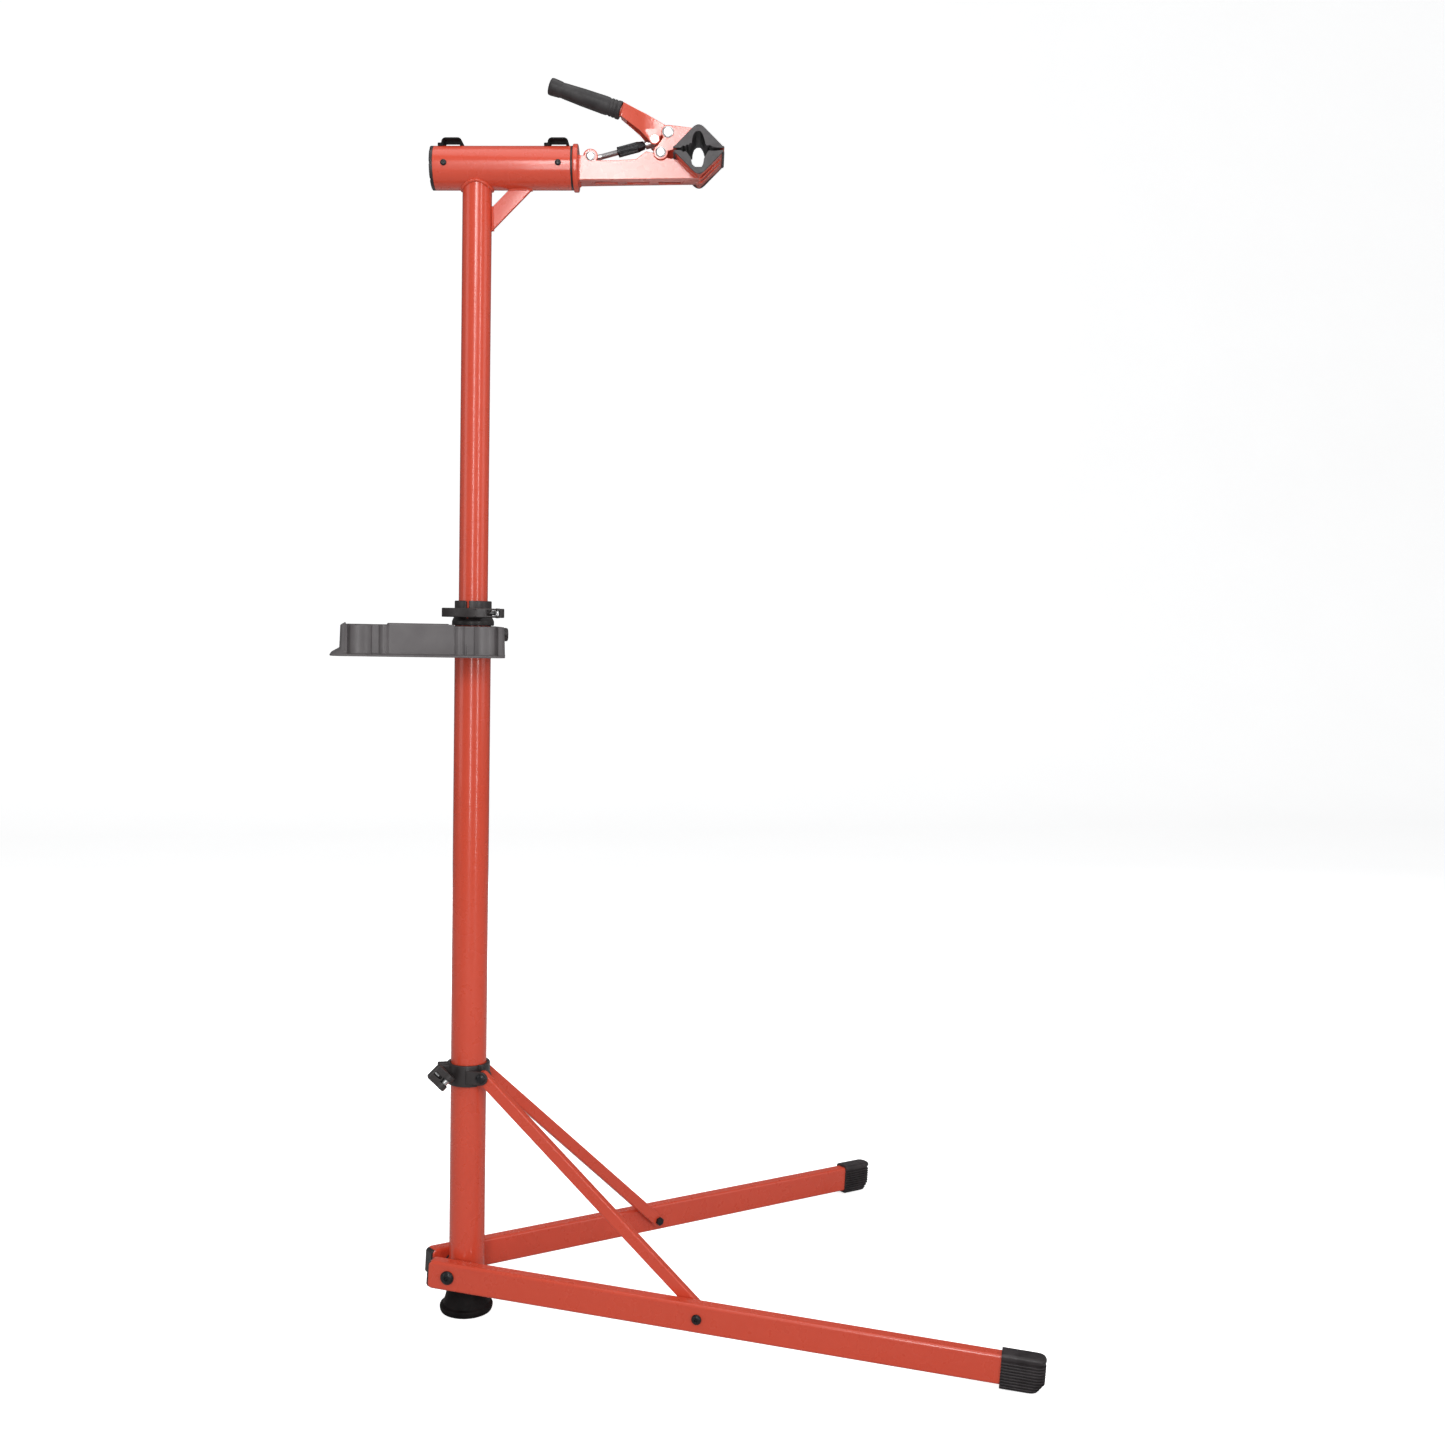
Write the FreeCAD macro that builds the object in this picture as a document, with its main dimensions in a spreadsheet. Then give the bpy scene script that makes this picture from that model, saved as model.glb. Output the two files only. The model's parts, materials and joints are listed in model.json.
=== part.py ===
import FreeCAD, Part
import os
import re

import Sketcher

# Bicycle repair stand: a telescopic post on two folding legs, carrying a rotating clamp head.
#
# Frame: millimetres, +Z up, origin on the post's axis at the floor. +X runs forward between the
# two legs, so the left leg is on +Y and the right leg on -Y. The head swivels on the post, and it
# is drawn turned by head_swivel about Z.

DOCUMENT_NAME = "repair_stand"
PARTS_FOLDER = "parts"

# Driving dimensions: millimetres and degrees.
DIMENSIONS = {
    # lower post and its rubber boot
    "post_radius": 25, "post_wall": 1.5, "post_bottom": 5, "post_top": 985,
    "boot_rim_radius": 37.8, "boot_rim_height": 8, "boot_neck_radius": 28, "boot_top": 44,
    # mast that telescopes in the post
    "mast_radius": 20, "mast_wall": 1.5, "mast_bottom": 600, "running_gap": 0.05,
    "glide_length": 60, "bush_depth": 40, "bush_rise": 24,
    # legs
    "splay": 25.2, "slope": 2.88, "leg_plane": 38.5, "leg_width": 20, "leg_depth": 40,
    "leg_wall": 1.6, "leg_tube_end": 820, "leg_tube_rear": 30, "leg_pivot_back": 9.75,
    "leg_rear_corner": 7, "plug_flange": 1.5, "plug_length": 12, "plug_corner": 5.5, "leg_corner": 4,
    "cap_start": 766, "cap_end": 824, "cap_wall": 3.4, "cap_bevel": 11,
    # leg pivots
    "pivot_pin_radius": 5, "boss_radius": 8, "boss_inner": 12, "boss_face": 26.5,
    "leg_bush_radius": 7, "pivot_head_radius": 9.7, "pivot_head_height": 5.5,
    "leg_washer_radius": 9.5, "side_gap": 0.05,
    # braces
    "brace_bolt_along": 359.5, "brace_plane": 21.5, "brace_width": 12, "brace_depth": 17,
    "brace_corner": 2,
    "brace_wall": 1.3, "brace_pin_radius": 4, "brace_head_radius": 7, "brace_top_forward": 30,
    "brace_head_height": 4.5, "brace_nut_radius": 6.5, "brace_nut_height": 4.5,
    # collar that slides on the post
    "collar_level": 345.5, "collar_radius": 30, "collar_depth": 30, "lug_radius": 9.5,
    "outer_lug_near": 27.8, "outer_lug_far": 31.8, "inner_lug_near": 11.7, "inner_lug_far": 15.2,
    "collar_split": 3, "ear_thickness": 10, "ear_reach": 43, "ear_depth": 26,
    "collar_bolt_back": 34, "collar_bolt_drop": 4.5, "cam_seat_height": 11,
    "cam_seat_radius": 5.9, "bolt_radius": 3, "cam_pin_radius": 2.5, "cam_radius": 7.5,
    "collar_lever_width": 24, "collar_lever_reach": 24.5, "eye_radius": 5,
    # quick-release clamp at the top of the post
    "clamp_turn": -22, "clamp_skirt_radius": 29, "clamp_skirt_drop": 9, "clamp_ring_radius": 25.5,
    "clamp_ring_top": 25, "clamp_split": 4, "clamp_bolt_offset": 31, "clamp_bolt_rise": 8.5,
    "clamp_pin_reach": 45, "lever_hub_radius": 9, "lever_height": 12.6, "lever_bottom": 2.2,
    "lever_arc_radius": 62, "lever_thickness": 4.4, "lever_arc_x": 12, "lever_arc_y": 14.5,
    # tool tray
    "tray_bottom": 933, "tray_height": 44, "tray_rear": 180, "tray_front": 39, "tray_half": 77,
    "tray_corner": 12, "tray_skin": 2.5, "tray_flange": 12, "tray_hub_radius": 31,
    "tray_bore_radius": 27,
    "knob_rise": 31, "knob_radius": 9.4, "knob_stem_radius": 4,
    # head
    "head_height": 1599, "head_swivel": -12, "head_tilt": 1.35, "head_radius": 29, "head_wall": 2.5,
    "head_rear": 57.5, "head_front": 128.5, "bush_flange": 4.5, "front_flange": 2.5,
    "bush_insert": 27, "spindle_radius": 18, "spindle_wall": 3, "spindle_rear": 55,
    "flange_radius": 31.7, "flange_thickness": 7, "screw_radius": 2.5, "screw_rear": 42,
    "screw_front": 112, "gusset_width": 22, "gusset_thickness": 6,
    "gusset_drop": 55, "gusset_run": 29, "clip_rear": -47, "clip_front": 97, "clip_length": 28,
    "clip_top": 38, "clip_width": 26,
    # clamp: places are measured forward of the post axis and above the head axis
    "channel_half": 17.4, "channel_wall": 3, "channel_bottom": 20, "channel_end": 297,
    "slot_start": 161, "slot_pitch": 43, "slot_length": 30,
    "link_x": 155.3, "link_z": 11.6, "jaw_x": 250.5, "jaw_z": 16,
    "handle_x": 260.6, "handle_z": 42.7, "rod_end_x": 242.5, "rod_end_z": 34.6,
    "rivet_radius": 4, "lobe_radius": 10, "vee_x": 302, "vee_z": 15, "vee_half": 36,
    "vee_wall": 3, "vee_gap": 3, "vee_depth": 72, "pad_lip": 3, "pad_thickness": 11,
    "grip_start_x": 196.1, "grip_start_z": 76.9, "grip_end_x": 99.5, "grip_end_z": 109.9,
    "grip_radius": 12, "tang_radius": 8, "handle_half": 17, "rod_radius": 4, "barrel_radius": 7.1,
    "barrel_start": 37.5, "barrel_length": 37.7, "rod_block_radius": 6,
}

doc = FreeCAD.newDocument(DOCUMENT_NAME)
sheet = doc.addObject("Spreadsheet::Sheet", "Dims")
node_objects = {}


def fill_sheet():
    """Write every driving dimension to its own cell, with its name as the alias."""
    for row, (alias, number) in enumerate(DIMENSIONS.items(), start=1):
        sheet.set(f"A{row}", alias.replace("_", " "))
        sheet.set(f"B{row}", str(number))
        sheet.setAlias(f"B{row}", alias)
    doc.recompute()


def ex(text):
    """Turn a formula in plain dimension names into one that points at the sheet."""
    def pointed(word):
        return f"Dims.{word[0]}" if word[0] in DIMENSIONS else word[0]

    return re.sub(r"[a-z][a-z0-9_]*", pointed, str(text))


def number(text):
    """Value of a formula in dimension names."""
    return float(sheet.evalExpression(ex(text)))


# ---------------------------------------------------------------- places

def spin(axis, angle):
    """Formula of a rotation about one of the main axes."""
    direction = {"x": "1; 0; 0", "y": "0; 1; 0", "z": "0; 0; 1"}[axis]
    return f"rotation(vector({direction}); {angle})"


def at(x, y, z, rotation="rotation(vector(0; 0; 1); 0)"):
    """Formula of a placement."""
    return f"placement(vector({x}; {y}; {z}); {rotation})"


def in_side(side, along, out, up, rotation="rotation(vector(0; 0; 1); 0)"):
    """Place in a leg's own upright plane frame: along the leg, out from the post, up.

    side is -1 for the right leg and 1 for the left one.
    """
    frame = at(0, 0, 0, spin("z", f"{side} * splay"))
    return f"{frame} * {at(along, f'{side} * ({out})', up, rotation)}"


def outward(side, along, up):
    """Place whose Z axis points straight out through a leg's side face."""
    return in_side(side, along, "0", up, spin("x", f"-90 * {side}"))


def in_head(x, z, rotation="rotation(vector(0; 0; 1); 0)"):
    """Place in the head's frame: origin where the mast and head axes meet, X along the head.

    The head is turned by head_swivel, and tilted nose-up so that it settles level under a bicycle.
    """
    level = at(0, 0, "head_height", spin("z", "head_swivel"))
    return f"{level} * {at(0, 0, 0, spin('y', '-head_tilt'))} * {at(x, 0, z, rotation)}"


def in_clamp(x, y, z, rotation="rotation(vector(0; 0; 1); 0)"):
    """Place in the height clamp's frame, whose origin is on the post axis at the post's top."""
    return f"{at(0, 0, 'post_top', spin('z', 'clamp_turn'))} * {at(x, y, z, rotation)}"


HEAD = in_head(0, 0)
HEAD_AXIS = in_head(0, 0, spin("y", 90))
LEG_PIVOT_HEIGHT = ("((cap_end - cap_bevel) * sin(slope) + (leg_depth / 2 + cap_wall) * cos(slope))")
BRACE_RUN = "(brace_bolt_along * cos(slope) - leg_pivot_back - brace_top_forward)"
BRACE_FALL = f"(collar_level - {LEG_PIVOT_HEIGHT} + brace_bolt_along * sin(slope))"
BRACE_LENGTH = f"sqrt({BRACE_RUN} ^ 2 + {BRACE_FALL} ^ 2)"
BRACE_ANGLE = f"atan({BRACE_FALL} / {BRACE_RUN})"
LEG_OUTER = "(leg_plane + leg_width / 2)"
LEG_INNER = "(leg_plane - leg_width / 2)"
SIDES = {"right": -1, "left": 1}


def put(obj, formula):
    """Bind an object's placement to the sheet."""
    obj.setExpression("Placement", ex(formula))
    return obj


# ---------------------------------------------------------------- drawing helpers

def new_body(label, place=None):
    body = doc.addObject("PartDesign::Body", label)
    if place:
        put(body, place)
    return body


def new_sketch(body, plane, offset="0"):
    """Empty sketch on one of the body's own origin planes, moved along its normal."""
    sketch = body.newObject("Sketcher::SketchObject", f"{body.Label}_sketch")
    role = f"{plane}_Plane"
    origin_plane = next(face for face in body.Origin.OriginFeatures if face.Role == role)
    sketch.AttachmentSupport = [(origin_plane, "")]
    sketch.MapMode = "FlatFace"
    sketch.setExpression("AttachmentOffset.Base.z", ex(offset))
    return sketch


def add_polygon(sketch, corners):
    """Closed outline whose corner places are formulas."""
    points = [FreeCAD.Vector(number(x), number(y), 0) for x, y in corners]
    first = sketch.GeometryCount
    count = len(points)
    for index, point in enumerate(points):
        sketch.addGeometry(Part.LineSegment(point, points[(index + 1) % count]))
    for index in range(count):
        follower = first + (index + 1) % count
        sketch.addConstraint(Sketcher.Constraint("Coincident", first + index, 2, follower, 1))
    for index, corner in enumerate(corners):
        for kind, formula in zip(("DistanceX", "DistanceY"), corner):
            constraint = Sketcher.Constraint(kind, -1, 1, first + index, 1, number(formula))
            place = sketch.addConstraint(constraint)
            sketch.setExpression(f"Constraints[{place}]", ex(formula))


def add_circle(sketch, x, y, radius):
    """Circle whose centre and radius are formulas."""
    centre = FreeCAD.Vector(number(x), number(y), 0)
    index = sketch.addGeometry(Part.Circle(centre, FreeCAD.Vector(0, 0, 1), number(radius)))
    wanted = [
        (Sketcher.Constraint("DistanceX", -1, 1, index, 3, number(x)), x),
        (Sketcher.Constraint("DistanceY", -1, 1, index, 3, number(y)), y),
        (Sketcher.Constraint("Radius", index, number(radius)), radius),
    ]
    for constraint, formula in wanted:
        place = sketch.addConstraint(constraint)
        sketch.setExpression(f"Constraints[{place}]", ex(formula))


def rectangle(x0, x1, y0, y1):
    return [(x0, y0), (x1, y0), (x1, y1), (x0, y1)]


def extrude(body, sketch, length, cut=False, both=True, backward=False):
    """Pad or pocket, either both ways about the sketch or to one side of it."""
    kind = "Pocket" if cut else "Pad"
    feature = body.newObject(f"PartDesign::{kind}", f"{body.Label}_{kind.lower()}")
    feature.Profile = sketch
    feature.setExpression("Length", ex(length))
    feature.Midplane = both
    feature.Reversed = backward
    return feature


def pad_polygon(body, plane, corners, length, offset="0", both=True):
    sketch = new_sketch(body, plane, offset)
    add_polygon(sketch, corners)
    return extrude(body, sketch, length, both=both)


def pad_circle(body, plane, circle, length, offset="0", both=True):
    sketch = new_sketch(body, plane, offset)
    add_circle(sketch, *circle)
    return extrude(body, sketch, length, both=both)


def cut_polygon(body, plane, corners, length, offset="0", both=True):
    sketch = new_sketch(body, plane, offset)
    add_polygon(sketch, corners)
    return extrude(body, sketch, length, cut=True, both=both)


def cut_circle(body, plane, circle, length, offset="0", both=True):
    sketch = new_sketch(body, plane, offset)
    add_circle(sketch, *circle)
    return extrude(body, sketch, length, cut=True, both=both)


def soften(body, radius, wanted, kind="Fillet"):
    """Fillet or chamfer the edges of the body's last feature that wanted(edge) picks."""
    doc.recompute()
    base = body.Tip
    names = [f"Edge{i}" for i, edge in enumerate(base.Shape.Edges, start=1) if wanted(edge)]
    if not names:
        raise ValueError(f"{body.Label}: no edge to soften")
    feature = body.newObject(f"PartDesign::{kind}", f"{body.Label}_{kind.lower()}")
    feature.Base = (base, names)
    feature.setExpression("Radius" if kind == "Fillet" else "Size", ex(radius))
    return feature


def runs_along(edge, axis, least=1.0):
    """True for a straight edge parallel to one local axis."""
    start, end = edge.Vertexes[0].Point, edge.Vertexes[-1].Point
    span = end.sub(start)
    across = [abs(getattr(span, name)) for name in "xyz" if name != axis]
    straight = edge.Curve.TypeId == "Part::GeomLine"
    return straight and abs(getattr(span, axis)) > least and max(across) < 1e-4


def middle(edge):
    return edge.BoundBox.Center


def turned(label, profile, place=None):
    """Body of revolution about its own Z axis, from (radius, height) corners."""
    body = new_body(label, place)
    sketch = new_sketch(body, "XZ")
    add_polygon(sketch, profile)
    feature = body.newObject("PartDesign::Revolution", f"{label}_turning")
    feature.Profile = sketch
    feature.ReferenceAxis = (sketch, ["V_Axis"])
    feature.Angle = 360
    return body


def ring(label, inner, outer, low, high, place=None):
    return turned(label, [(inner, low), (outer, low), (outer, high), (inner, high)], place)


def hexagon(across):
    """Corners of a hexagon from its size across the flats."""
    reach = f"{across} / sqrt(3)"
    return [(f"{reach} * cos({60 * k})", f"{reach} * sin({60 * k})") for k in range(6)]


def box(label, low, high, place):
    """Part box between two corners given in the frame of place."""
    solid = doc.addObject("Part::Box", label)
    for name, start, end in zip(("Length", "Width", "Height"), low, high):
        solid.setExpression(name, ex(f"({end}) - ({start})"))
    return put(solid, f"{place} * {at(*low)}")


def rod(label, radius, low, high, place):
    """Part cylinder along the Z axis of place."""
    solid = doc.addObject("Part::Cylinder", label)
    solid.setExpression("Radius", ex(radius))
    solid.setExpression("Height", ex(f"({high}) - ({low})"))
    return put(solid, f"{place} * {at(0, 0, low)}")


def joined(label, solids):
    fusion = doc.addObject("Part::MultiFuse", label)
    fusion.Shapes = solids
    fusion.Refine = True
    return fusion


def minus(label, base, tools):
    tool = tools[0] if len(tools) == 1 else joined(f"{label}_tool", tools)
    cut = doc.addObject("Part::Cut", label)
    cut.Base = base
    cut.Tool = tool
    cut.Refine = True
    return cut


def group(label, solids):
    """Several identical pieces that share one node."""
    compound = doc.addObject("Part::Compound", label)
    compound.Links = solids
    return compound


def node(name, obj):
    """Register an object as the sub-part that is written under this name."""
    obj.Label = name
    node_objects[name] = obj
    return obj


# ---------------------------------------------------------------- post

def lower_post():
    tube = ring("post_tube", "post_radius - post_wall", "post_radius", "post_bottom", "post_top")
    holes = [rod(f"boss_hole_{name}", "boss_radius", "boss_inner", "boss_face", leg_pivot(side))
             for name, side in SIDES.items()]
    node("lower_post", minus("post_with_holes", tube, holes))


def leg_pivot(side):
    return outward(side, "-leg_pivot_back", LEG_PIVOT_HEIGHT)


def post_boot():
    """Rubber boot: a flared foot under the post and a sleeve up its outside."""
    profile = [
        (0, 0), ("boot_rim_radius - 1.5", 0), ("boot_rim_radius", 1.5),
        ("boot_rim_radius", "boot_rim_height"), ("boot_neck_radius + 3.2", "boot_rim_height + 4"),
        ("boot_neck_radius + 2", "boot_rim_height + 7"), ("boot_neck_radius", 30),
        ("boot_neck_radius", "boot_top - 1"), ("boot_neck_radius - 1", "boot_top"),
        ("post_radius", "boot_top"), ("post_radius", "post_bottom"), (0, "post_bottom"),
    ]
    node("post_boot", turned("boot", profile))


def leg_bosses():
    """Threaded barrels welded through the post wall to take the leg pivot bolts."""
    pair = [ring(f"boss_{name}", "pivot_pin_radius", "boss_radius", "boss_inner", "boss_face",
                 leg_pivot(side)) for name, side in SIDES.items()]
    node("leg_bosses", group("boss_pair", pair))


def domed_bolt(label, shank, head, shank_low, seat, head_height, place):
    """Bolt with a domed head and a hexagon socket, drawn along Z with its head up."""
    top = f"({seat}) + ({head_height})"
    profile = [
        (0, shank_low), (shank, shank_low), (shank, seat), (head, seat),
        (head, f"{top} - ({head_height}) * 0.6"), (f"({head}) * 0.8", f"{top} - ({head_height}) * 0.2"),
        (f"({head}) * 0.55", top), (0, top),
    ]
    body = turned(label, profile, place)
    cut_polygon(body, "XY", hexagon(f"({head}) * 0.62"), f"({head_height}) * 1.1", offset=top)
    return body


def leg_pivot_bolts():
    pair = [domed_bolt(f"pivot_bolt_{name}", "pivot_pin_radius", "pivot_head_radius", "boss_inner + 1",
                       f"{LEG_OUTER} + side_gap", "pivot_head_height", leg_pivot(side))
            for name, side in SIDES.items()]
    node("leg_pivot_bolts", group("pivot_bolt_pair", pair))


def leg_pivot_washers():
    pair = [ring(f"pivot_washer_{name}", "pivot_pin_radius", "leg_washer_radius", "boss_face",
                 f"{LEG_INNER} - side_gap", leg_pivot(side)) for name, side in SIDES.items()]
    node("leg_pivot_washers", group("pivot_washer_pair", pair))


# ---------------------------------------------------------------- legs

def leg_place(side):
    """Leg frame: origin at the pivot, X along the leg and down to the floor."""
    return in_side(side, "-leg_pivot_back", "leg_plane", LEG_PIVOT_HEIGHT, spin("y", "slope"))


def section(half_y, half_z):
    return rectangle(f"-({half_y})", half_y, f"-({half_z})", half_z)


LEG_OUTSIDE = section("leg_width / 2", "leg_depth / 2")
LEG_INSIDE = section("leg_width / 2 - leg_wall", "leg_depth / 2 - leg_wall")


def leg(name, side):
    """Rectangular tube, rounded at its rear, with a pivot hole and a brace hole."""
    body = new_body(f"leg_tube_{name}", leg_place(side))
    length = "leg_tube_end + leg_tube_rear"
    pad_polygon(body, "YZ", LEG_OUTSIDE, length, "-leg_tube_rear", both=False)
    soften(body, "leg_rear_corner", lambda edge: runs_along(edge, "y") and middle(edge).x < 0)
    soften(body, "leg_corner", lambda edge: runs_along(edge, "x"))
    cut_polygon(body, "YZ", LEG_INSIDE, length, "leg_tube_end", both=False)
    cut_circle(body, "XZ", (0, 0, "leg_bush_radius"), "leg_width * 2")
    cut_circle(body, "XZ", ("brace_bolt_along", 0, "brace_pin_radius"), "leg_width * 2")
    node(f"leg_{name}", body)


def leg_bush(name, side):
    """Nylon sleeve that turns on the pivot bolt."""
    sleeve = ring(f"bush_{name}", "pivot_pin_radius + running_gap", "leg_bush_radius",
                  LEG_INNER, LEG_OUTER, leg_pivot(side))
    node(f"leg_bush_{name}", sleeve)


def leg_plug(name, side):
    """Plastic end plug that stands a little out of the rear of a leg tube."""
    body = new_body(f"plug_{name}", leg_place(side))
    length = "plug_flange + plug_length"
    pad_polygon(body, "YZ", LEG_INSIDE, length, "-leg_tube_rear - plug_flange", both=False)
    soften(body, "plug_corner", lambda edge: runs_along(edge, "y") and middle(edge).x < 0)
    node(f"leg_plug_{name}", body)


def leg_foot(name, side):
    """Rubber cap over a leg's end, bevelled where it meets the floor."""
    body = new_body(f"foot_{name}", leg_place(side))
    half_y = "leg_width / 2 + cap_wall"
    half_z = "(leg_depth / 2 + cap_wall)"
    pad_polygon(body, "YZ", section(half_y, half_z), "cap_end - cap_start", "cap_start", both=False)
    soften(body, "leg_corner + cap_wall / 2", lambda edge: runs_along(edge, "x"))
    bevel = [("cap_end - cap_bevel - 1", f"-{half_z} - 1"), ("cap_end + 1", f"-{half_z} - 1"),
             ("cap_end + 1", f"-{half_z} + cap_bevel + 1")]
    cut_polygon(body, "XZ", bevel, "leg_width * 3")
    cut_polygon(body, "YZ", LEG_OUTSIDE, "leg_tube_end - cap_start", "leg_tube_end", both=False)
    node(f"leg_foot_{name}", body)


def brace_bolt(name, side):
    """Bolt through a leg; its inner end stops at the leg's inner face."""
    on_post_axis = at("brace_bolt_along", f"{side} * (-leg_plane)", 0, spin("x", f"-90 * {side}"))
    body = domed_bolt(f"brace_bolt_body_{name}", "brace_pin_radius", "brace_head_radius", LEG_INNER,
                      LEG_OUTER, "brace_head_height", f"{leg_place(side)} * {on_post_axis}")
    node(f"brace_bolt_{name}", body)


# ---------------------------------------------------------------- braces

def brace_place(side):
    """Brace frame: origin at the upper pin, X down along the brace."""
    return in_side(side, "brace_top_forward", "brace_plane", "collar_level", spin("y", BRACE_ANGLE))


def brace(name, side):
    """Rectangular tube whose ends are cut round about their pin holes."""
    body = new_body(f"brace_tube_{name}", brace_place(side))
    half = "brace_depth / 2"
    pad_polygon(body, "XZ", rectangle(0, BRACE_LENGTH, f"-{half}", half), "brace_width")
    pad_circle(body, "XZ", (0, 0, half), "brace_width")
    pad_circle(body, "XZ", (BRACE_LENGTH, 0, half), "brace_width")
    soften(body, "brace_corner", lambda edge: runs_along(edge, "x"))
    inner = section("brace_width / 2 - brace_wall", f"{half} - brace_wall")
    cut_polygon(body, "YZ", inner, f"{BRACE_LENGTH} * 3")
    cut_circle(body, "XZ", (0, 0, "brace_pin_radius + running_gap"), "brace_width * 2")
    cut_circle(body, "XZ", (BRACE_LENGTH, 0, "brace_pin_radius"), "brace_width * 2")
    node(f"brace_{name}", body)


def brace_nut(name, side):
    """Sleeve and nut that hold the brace's lower end; they end at the brace's outer face."""
    place = f"{brace_place(side)} * {at(BRACE_LENGTH, 0, 0, spin('x', f'-90 * {side}'))}"
    half = "brace_width / 2"
    body = turned(f"brace_nut_body_{name}", [
        (0, f"-{half}"), ("brace_pin_radius", f"-{half}"), ("brace_pin_radius", half), (0, half)], place)
    pad_polygon(body, "XY", hexagon("brace_nut_radius * 2 * 0.87"), "brace_nut_height",
                f"-{half} - brace_nut_height", both=False)
    node(f"brace_nut_{name}", body)


# ---------------------------------------------------------------- sliding collar

COLLAR = at(0, 0, "collar_level")
COLLAR_BOLT = f"{COLLAR} * {at('-collar_bolt_back', 0, '-collar_bolt_drop', spin('x', 90))}"
EAR_FACE = "(collar_split / 2 + ear_thickness)"
CAM_OUT = f"({EAR_FACE} + cam_seat_height + cam_radius + 0.2)"
CAM_FRAME = (f"{COLLAR} * {at('-collar_bolt_back', f'-{CAM_OUT}', '-collar_bolt_drop')}"
             f" * {at(0, 0, 0, spin('y', 45))} * {at(0, 0, 0, spin('z', 180))}")


def collar_lug(name, side, near, far):
    """Flat lug beside a brace, rounded about the brace's upper pin."""
    low_out, high_out = (near, far) if side > 0 else (f"-{far}", f"-{near}")
    plate = box(f"lug_plate_{name}", ("brace_top_forward - 22", low_out, "-lug_radius"),
                ("brace_top_forward", high_out, "lug_radius"), in_side(side, 0, 0, "collar_level"))
    end = rod(f"lug_end_{name}", "lug_radius", near, far, outward(side, "brace_top_forward", "collar_level"))
    return [plate, end]


def slide_collar():
    """Split collar with two lugs for each brace and two rear ears for its bolt."""
    half = "collar_depth / 2"
    solids = [rod("collar_ring", "collar_radius", f"-{half}", half, COLLAR)]
    for name, side in SIDES.items():
        solids += collar_lug(f"outer_{name}", side, "outer_lug_near", "outer_lug_far")
        solids += collar_lug(f"inner_{name}", side, "inner_lug_near", "inner_lug_far")
    ears = box("collar_ears", ("-ear_reach", "-collar_split / 2 - ear_thickness", "-ear_depth / 2"),
               ("-post_radius + 4", "collar_split / 2 + ear_thickness", "ear_depth / 2"), COLLAR)
    solids.append(ears)
    bore = rod("collar_bore", "post_radius + running_gap", "-40", "40", COLLAR)
    split = box("collar_slot", ("-ear_reach - 1", "-collar_split / 2", -20),
                (0, "collar_split / 2", 20), COLLAR)
    bolt_hole = rod("collar_bolt_hole", "bolt_radius", "-30", "30", COLLAR_BOLT)
    tools = [bore, split, bolt_hole]
    room_back = "brace_top_forward - brace_depth / 2 - 0.4"
    for name, side in SIDES.items():
        near, far = ("inner_lug_far", "outer_lug_near")
        if side < 0:
            near, far = ("-outer_lug_near", "-inner_lug_far")
        tools.append(box(f"brace_room_{name}", (room_back, near, -30), ("brace_top_forward + 30", far, 30),
                         in_side(side, 0, 0, "collar_level")))
        tools.append(rod(f"lug_hole_{name}", "brace_pin_radius", 5, 40,
                         outward(side, "brace_top_forward", "collar_level")))
    node("slide_collar", minus("collar", joined("collar_solids", solids), tools))


def collar_pins():
    """Headed pins through the lugs; the braces' upper ends turn on them."""
    pair = []
    for name, side in SIDES.items():
        profile = [
            (0, "inner_lug_near"), ("brace_pin_radius", "inner_lug_near"),
            ("brace_pin_radius", "outer_lug_far"), ("brace_head_radius", "outer_lug_far"),
            ("brace_head_radius", "outer_lug_far + 1.5"), ("brace_pin_radius", "outer_lug_far + 3.5"),
            (0, "outer_lug_far + 3.8"),
        ]
        place = outward(side, "brace_top_forward", "collar_level")
        pair.append(turned(f"collar_pin_{name}", profile, place))
    node("collar_pins", group("collar_pin_pair", pair))


def eye_bolt(label, place, pin_along, nut_from, nut_to, nut_size, eye_turn):
    """Bolt along Z with an eye about a cross pin at its upper end and a nut at its lower end."""
    body = ring(f"{label}_shank", 0, "bolt_radius", nut_from, pin_along, place)
    pad_polygon(body, "XY", hexagon(nut_size), f"({nut_to}) - ({nut_from})", nut_from, both=False)
    eye_place = f"{place} * {at(0, 0, pin_along, eye_turn)}"
    eye = rod(f"{label}_eye", "eye_radius", "-bolt_radius - 0.3", "bolt_radius + 0.3", eye_place)
    hole = rod(f"{label}_eye_hole", "cam_pin_radius", "-20", "20", eye_place)
    return minus(f"{label}_body", joined(f"{label}_solids", [body, eye]), [hole])


def collar_bolt():
    far_ear = f"-{EAR_FACE}"
    turn = f"{spin('x', -90)} * {spin('y', 45)}"
    bolt = eye_bolt("collar_eye_bolt", COLLAR_BOLT, CAM_OUT, f"{far_ear} - 5", far_ear, 10, turn)
    node("collar_bolt", bolt)


def collar_cam_seat():
    """Moulded spacer between the near ear and the lever's cam."""
    top = f"{EAR_FACE} + cam_seat_height"
    seat = ring("cam_seat_ring", "bolt_radius", "cam_seat_radius", EAR_FACE, top, COLLAR_BOLT)
    node("collar_cam_seat", seat)


def collar_cam_pin():
    half = "(collar_lever_width / 2 - 0.5)"
    pin = rod("cam_pin", "cam_pin_radius", f"-{half}", half, CAM_FRAME)
    node("collar_cam_pin", pin)


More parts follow.
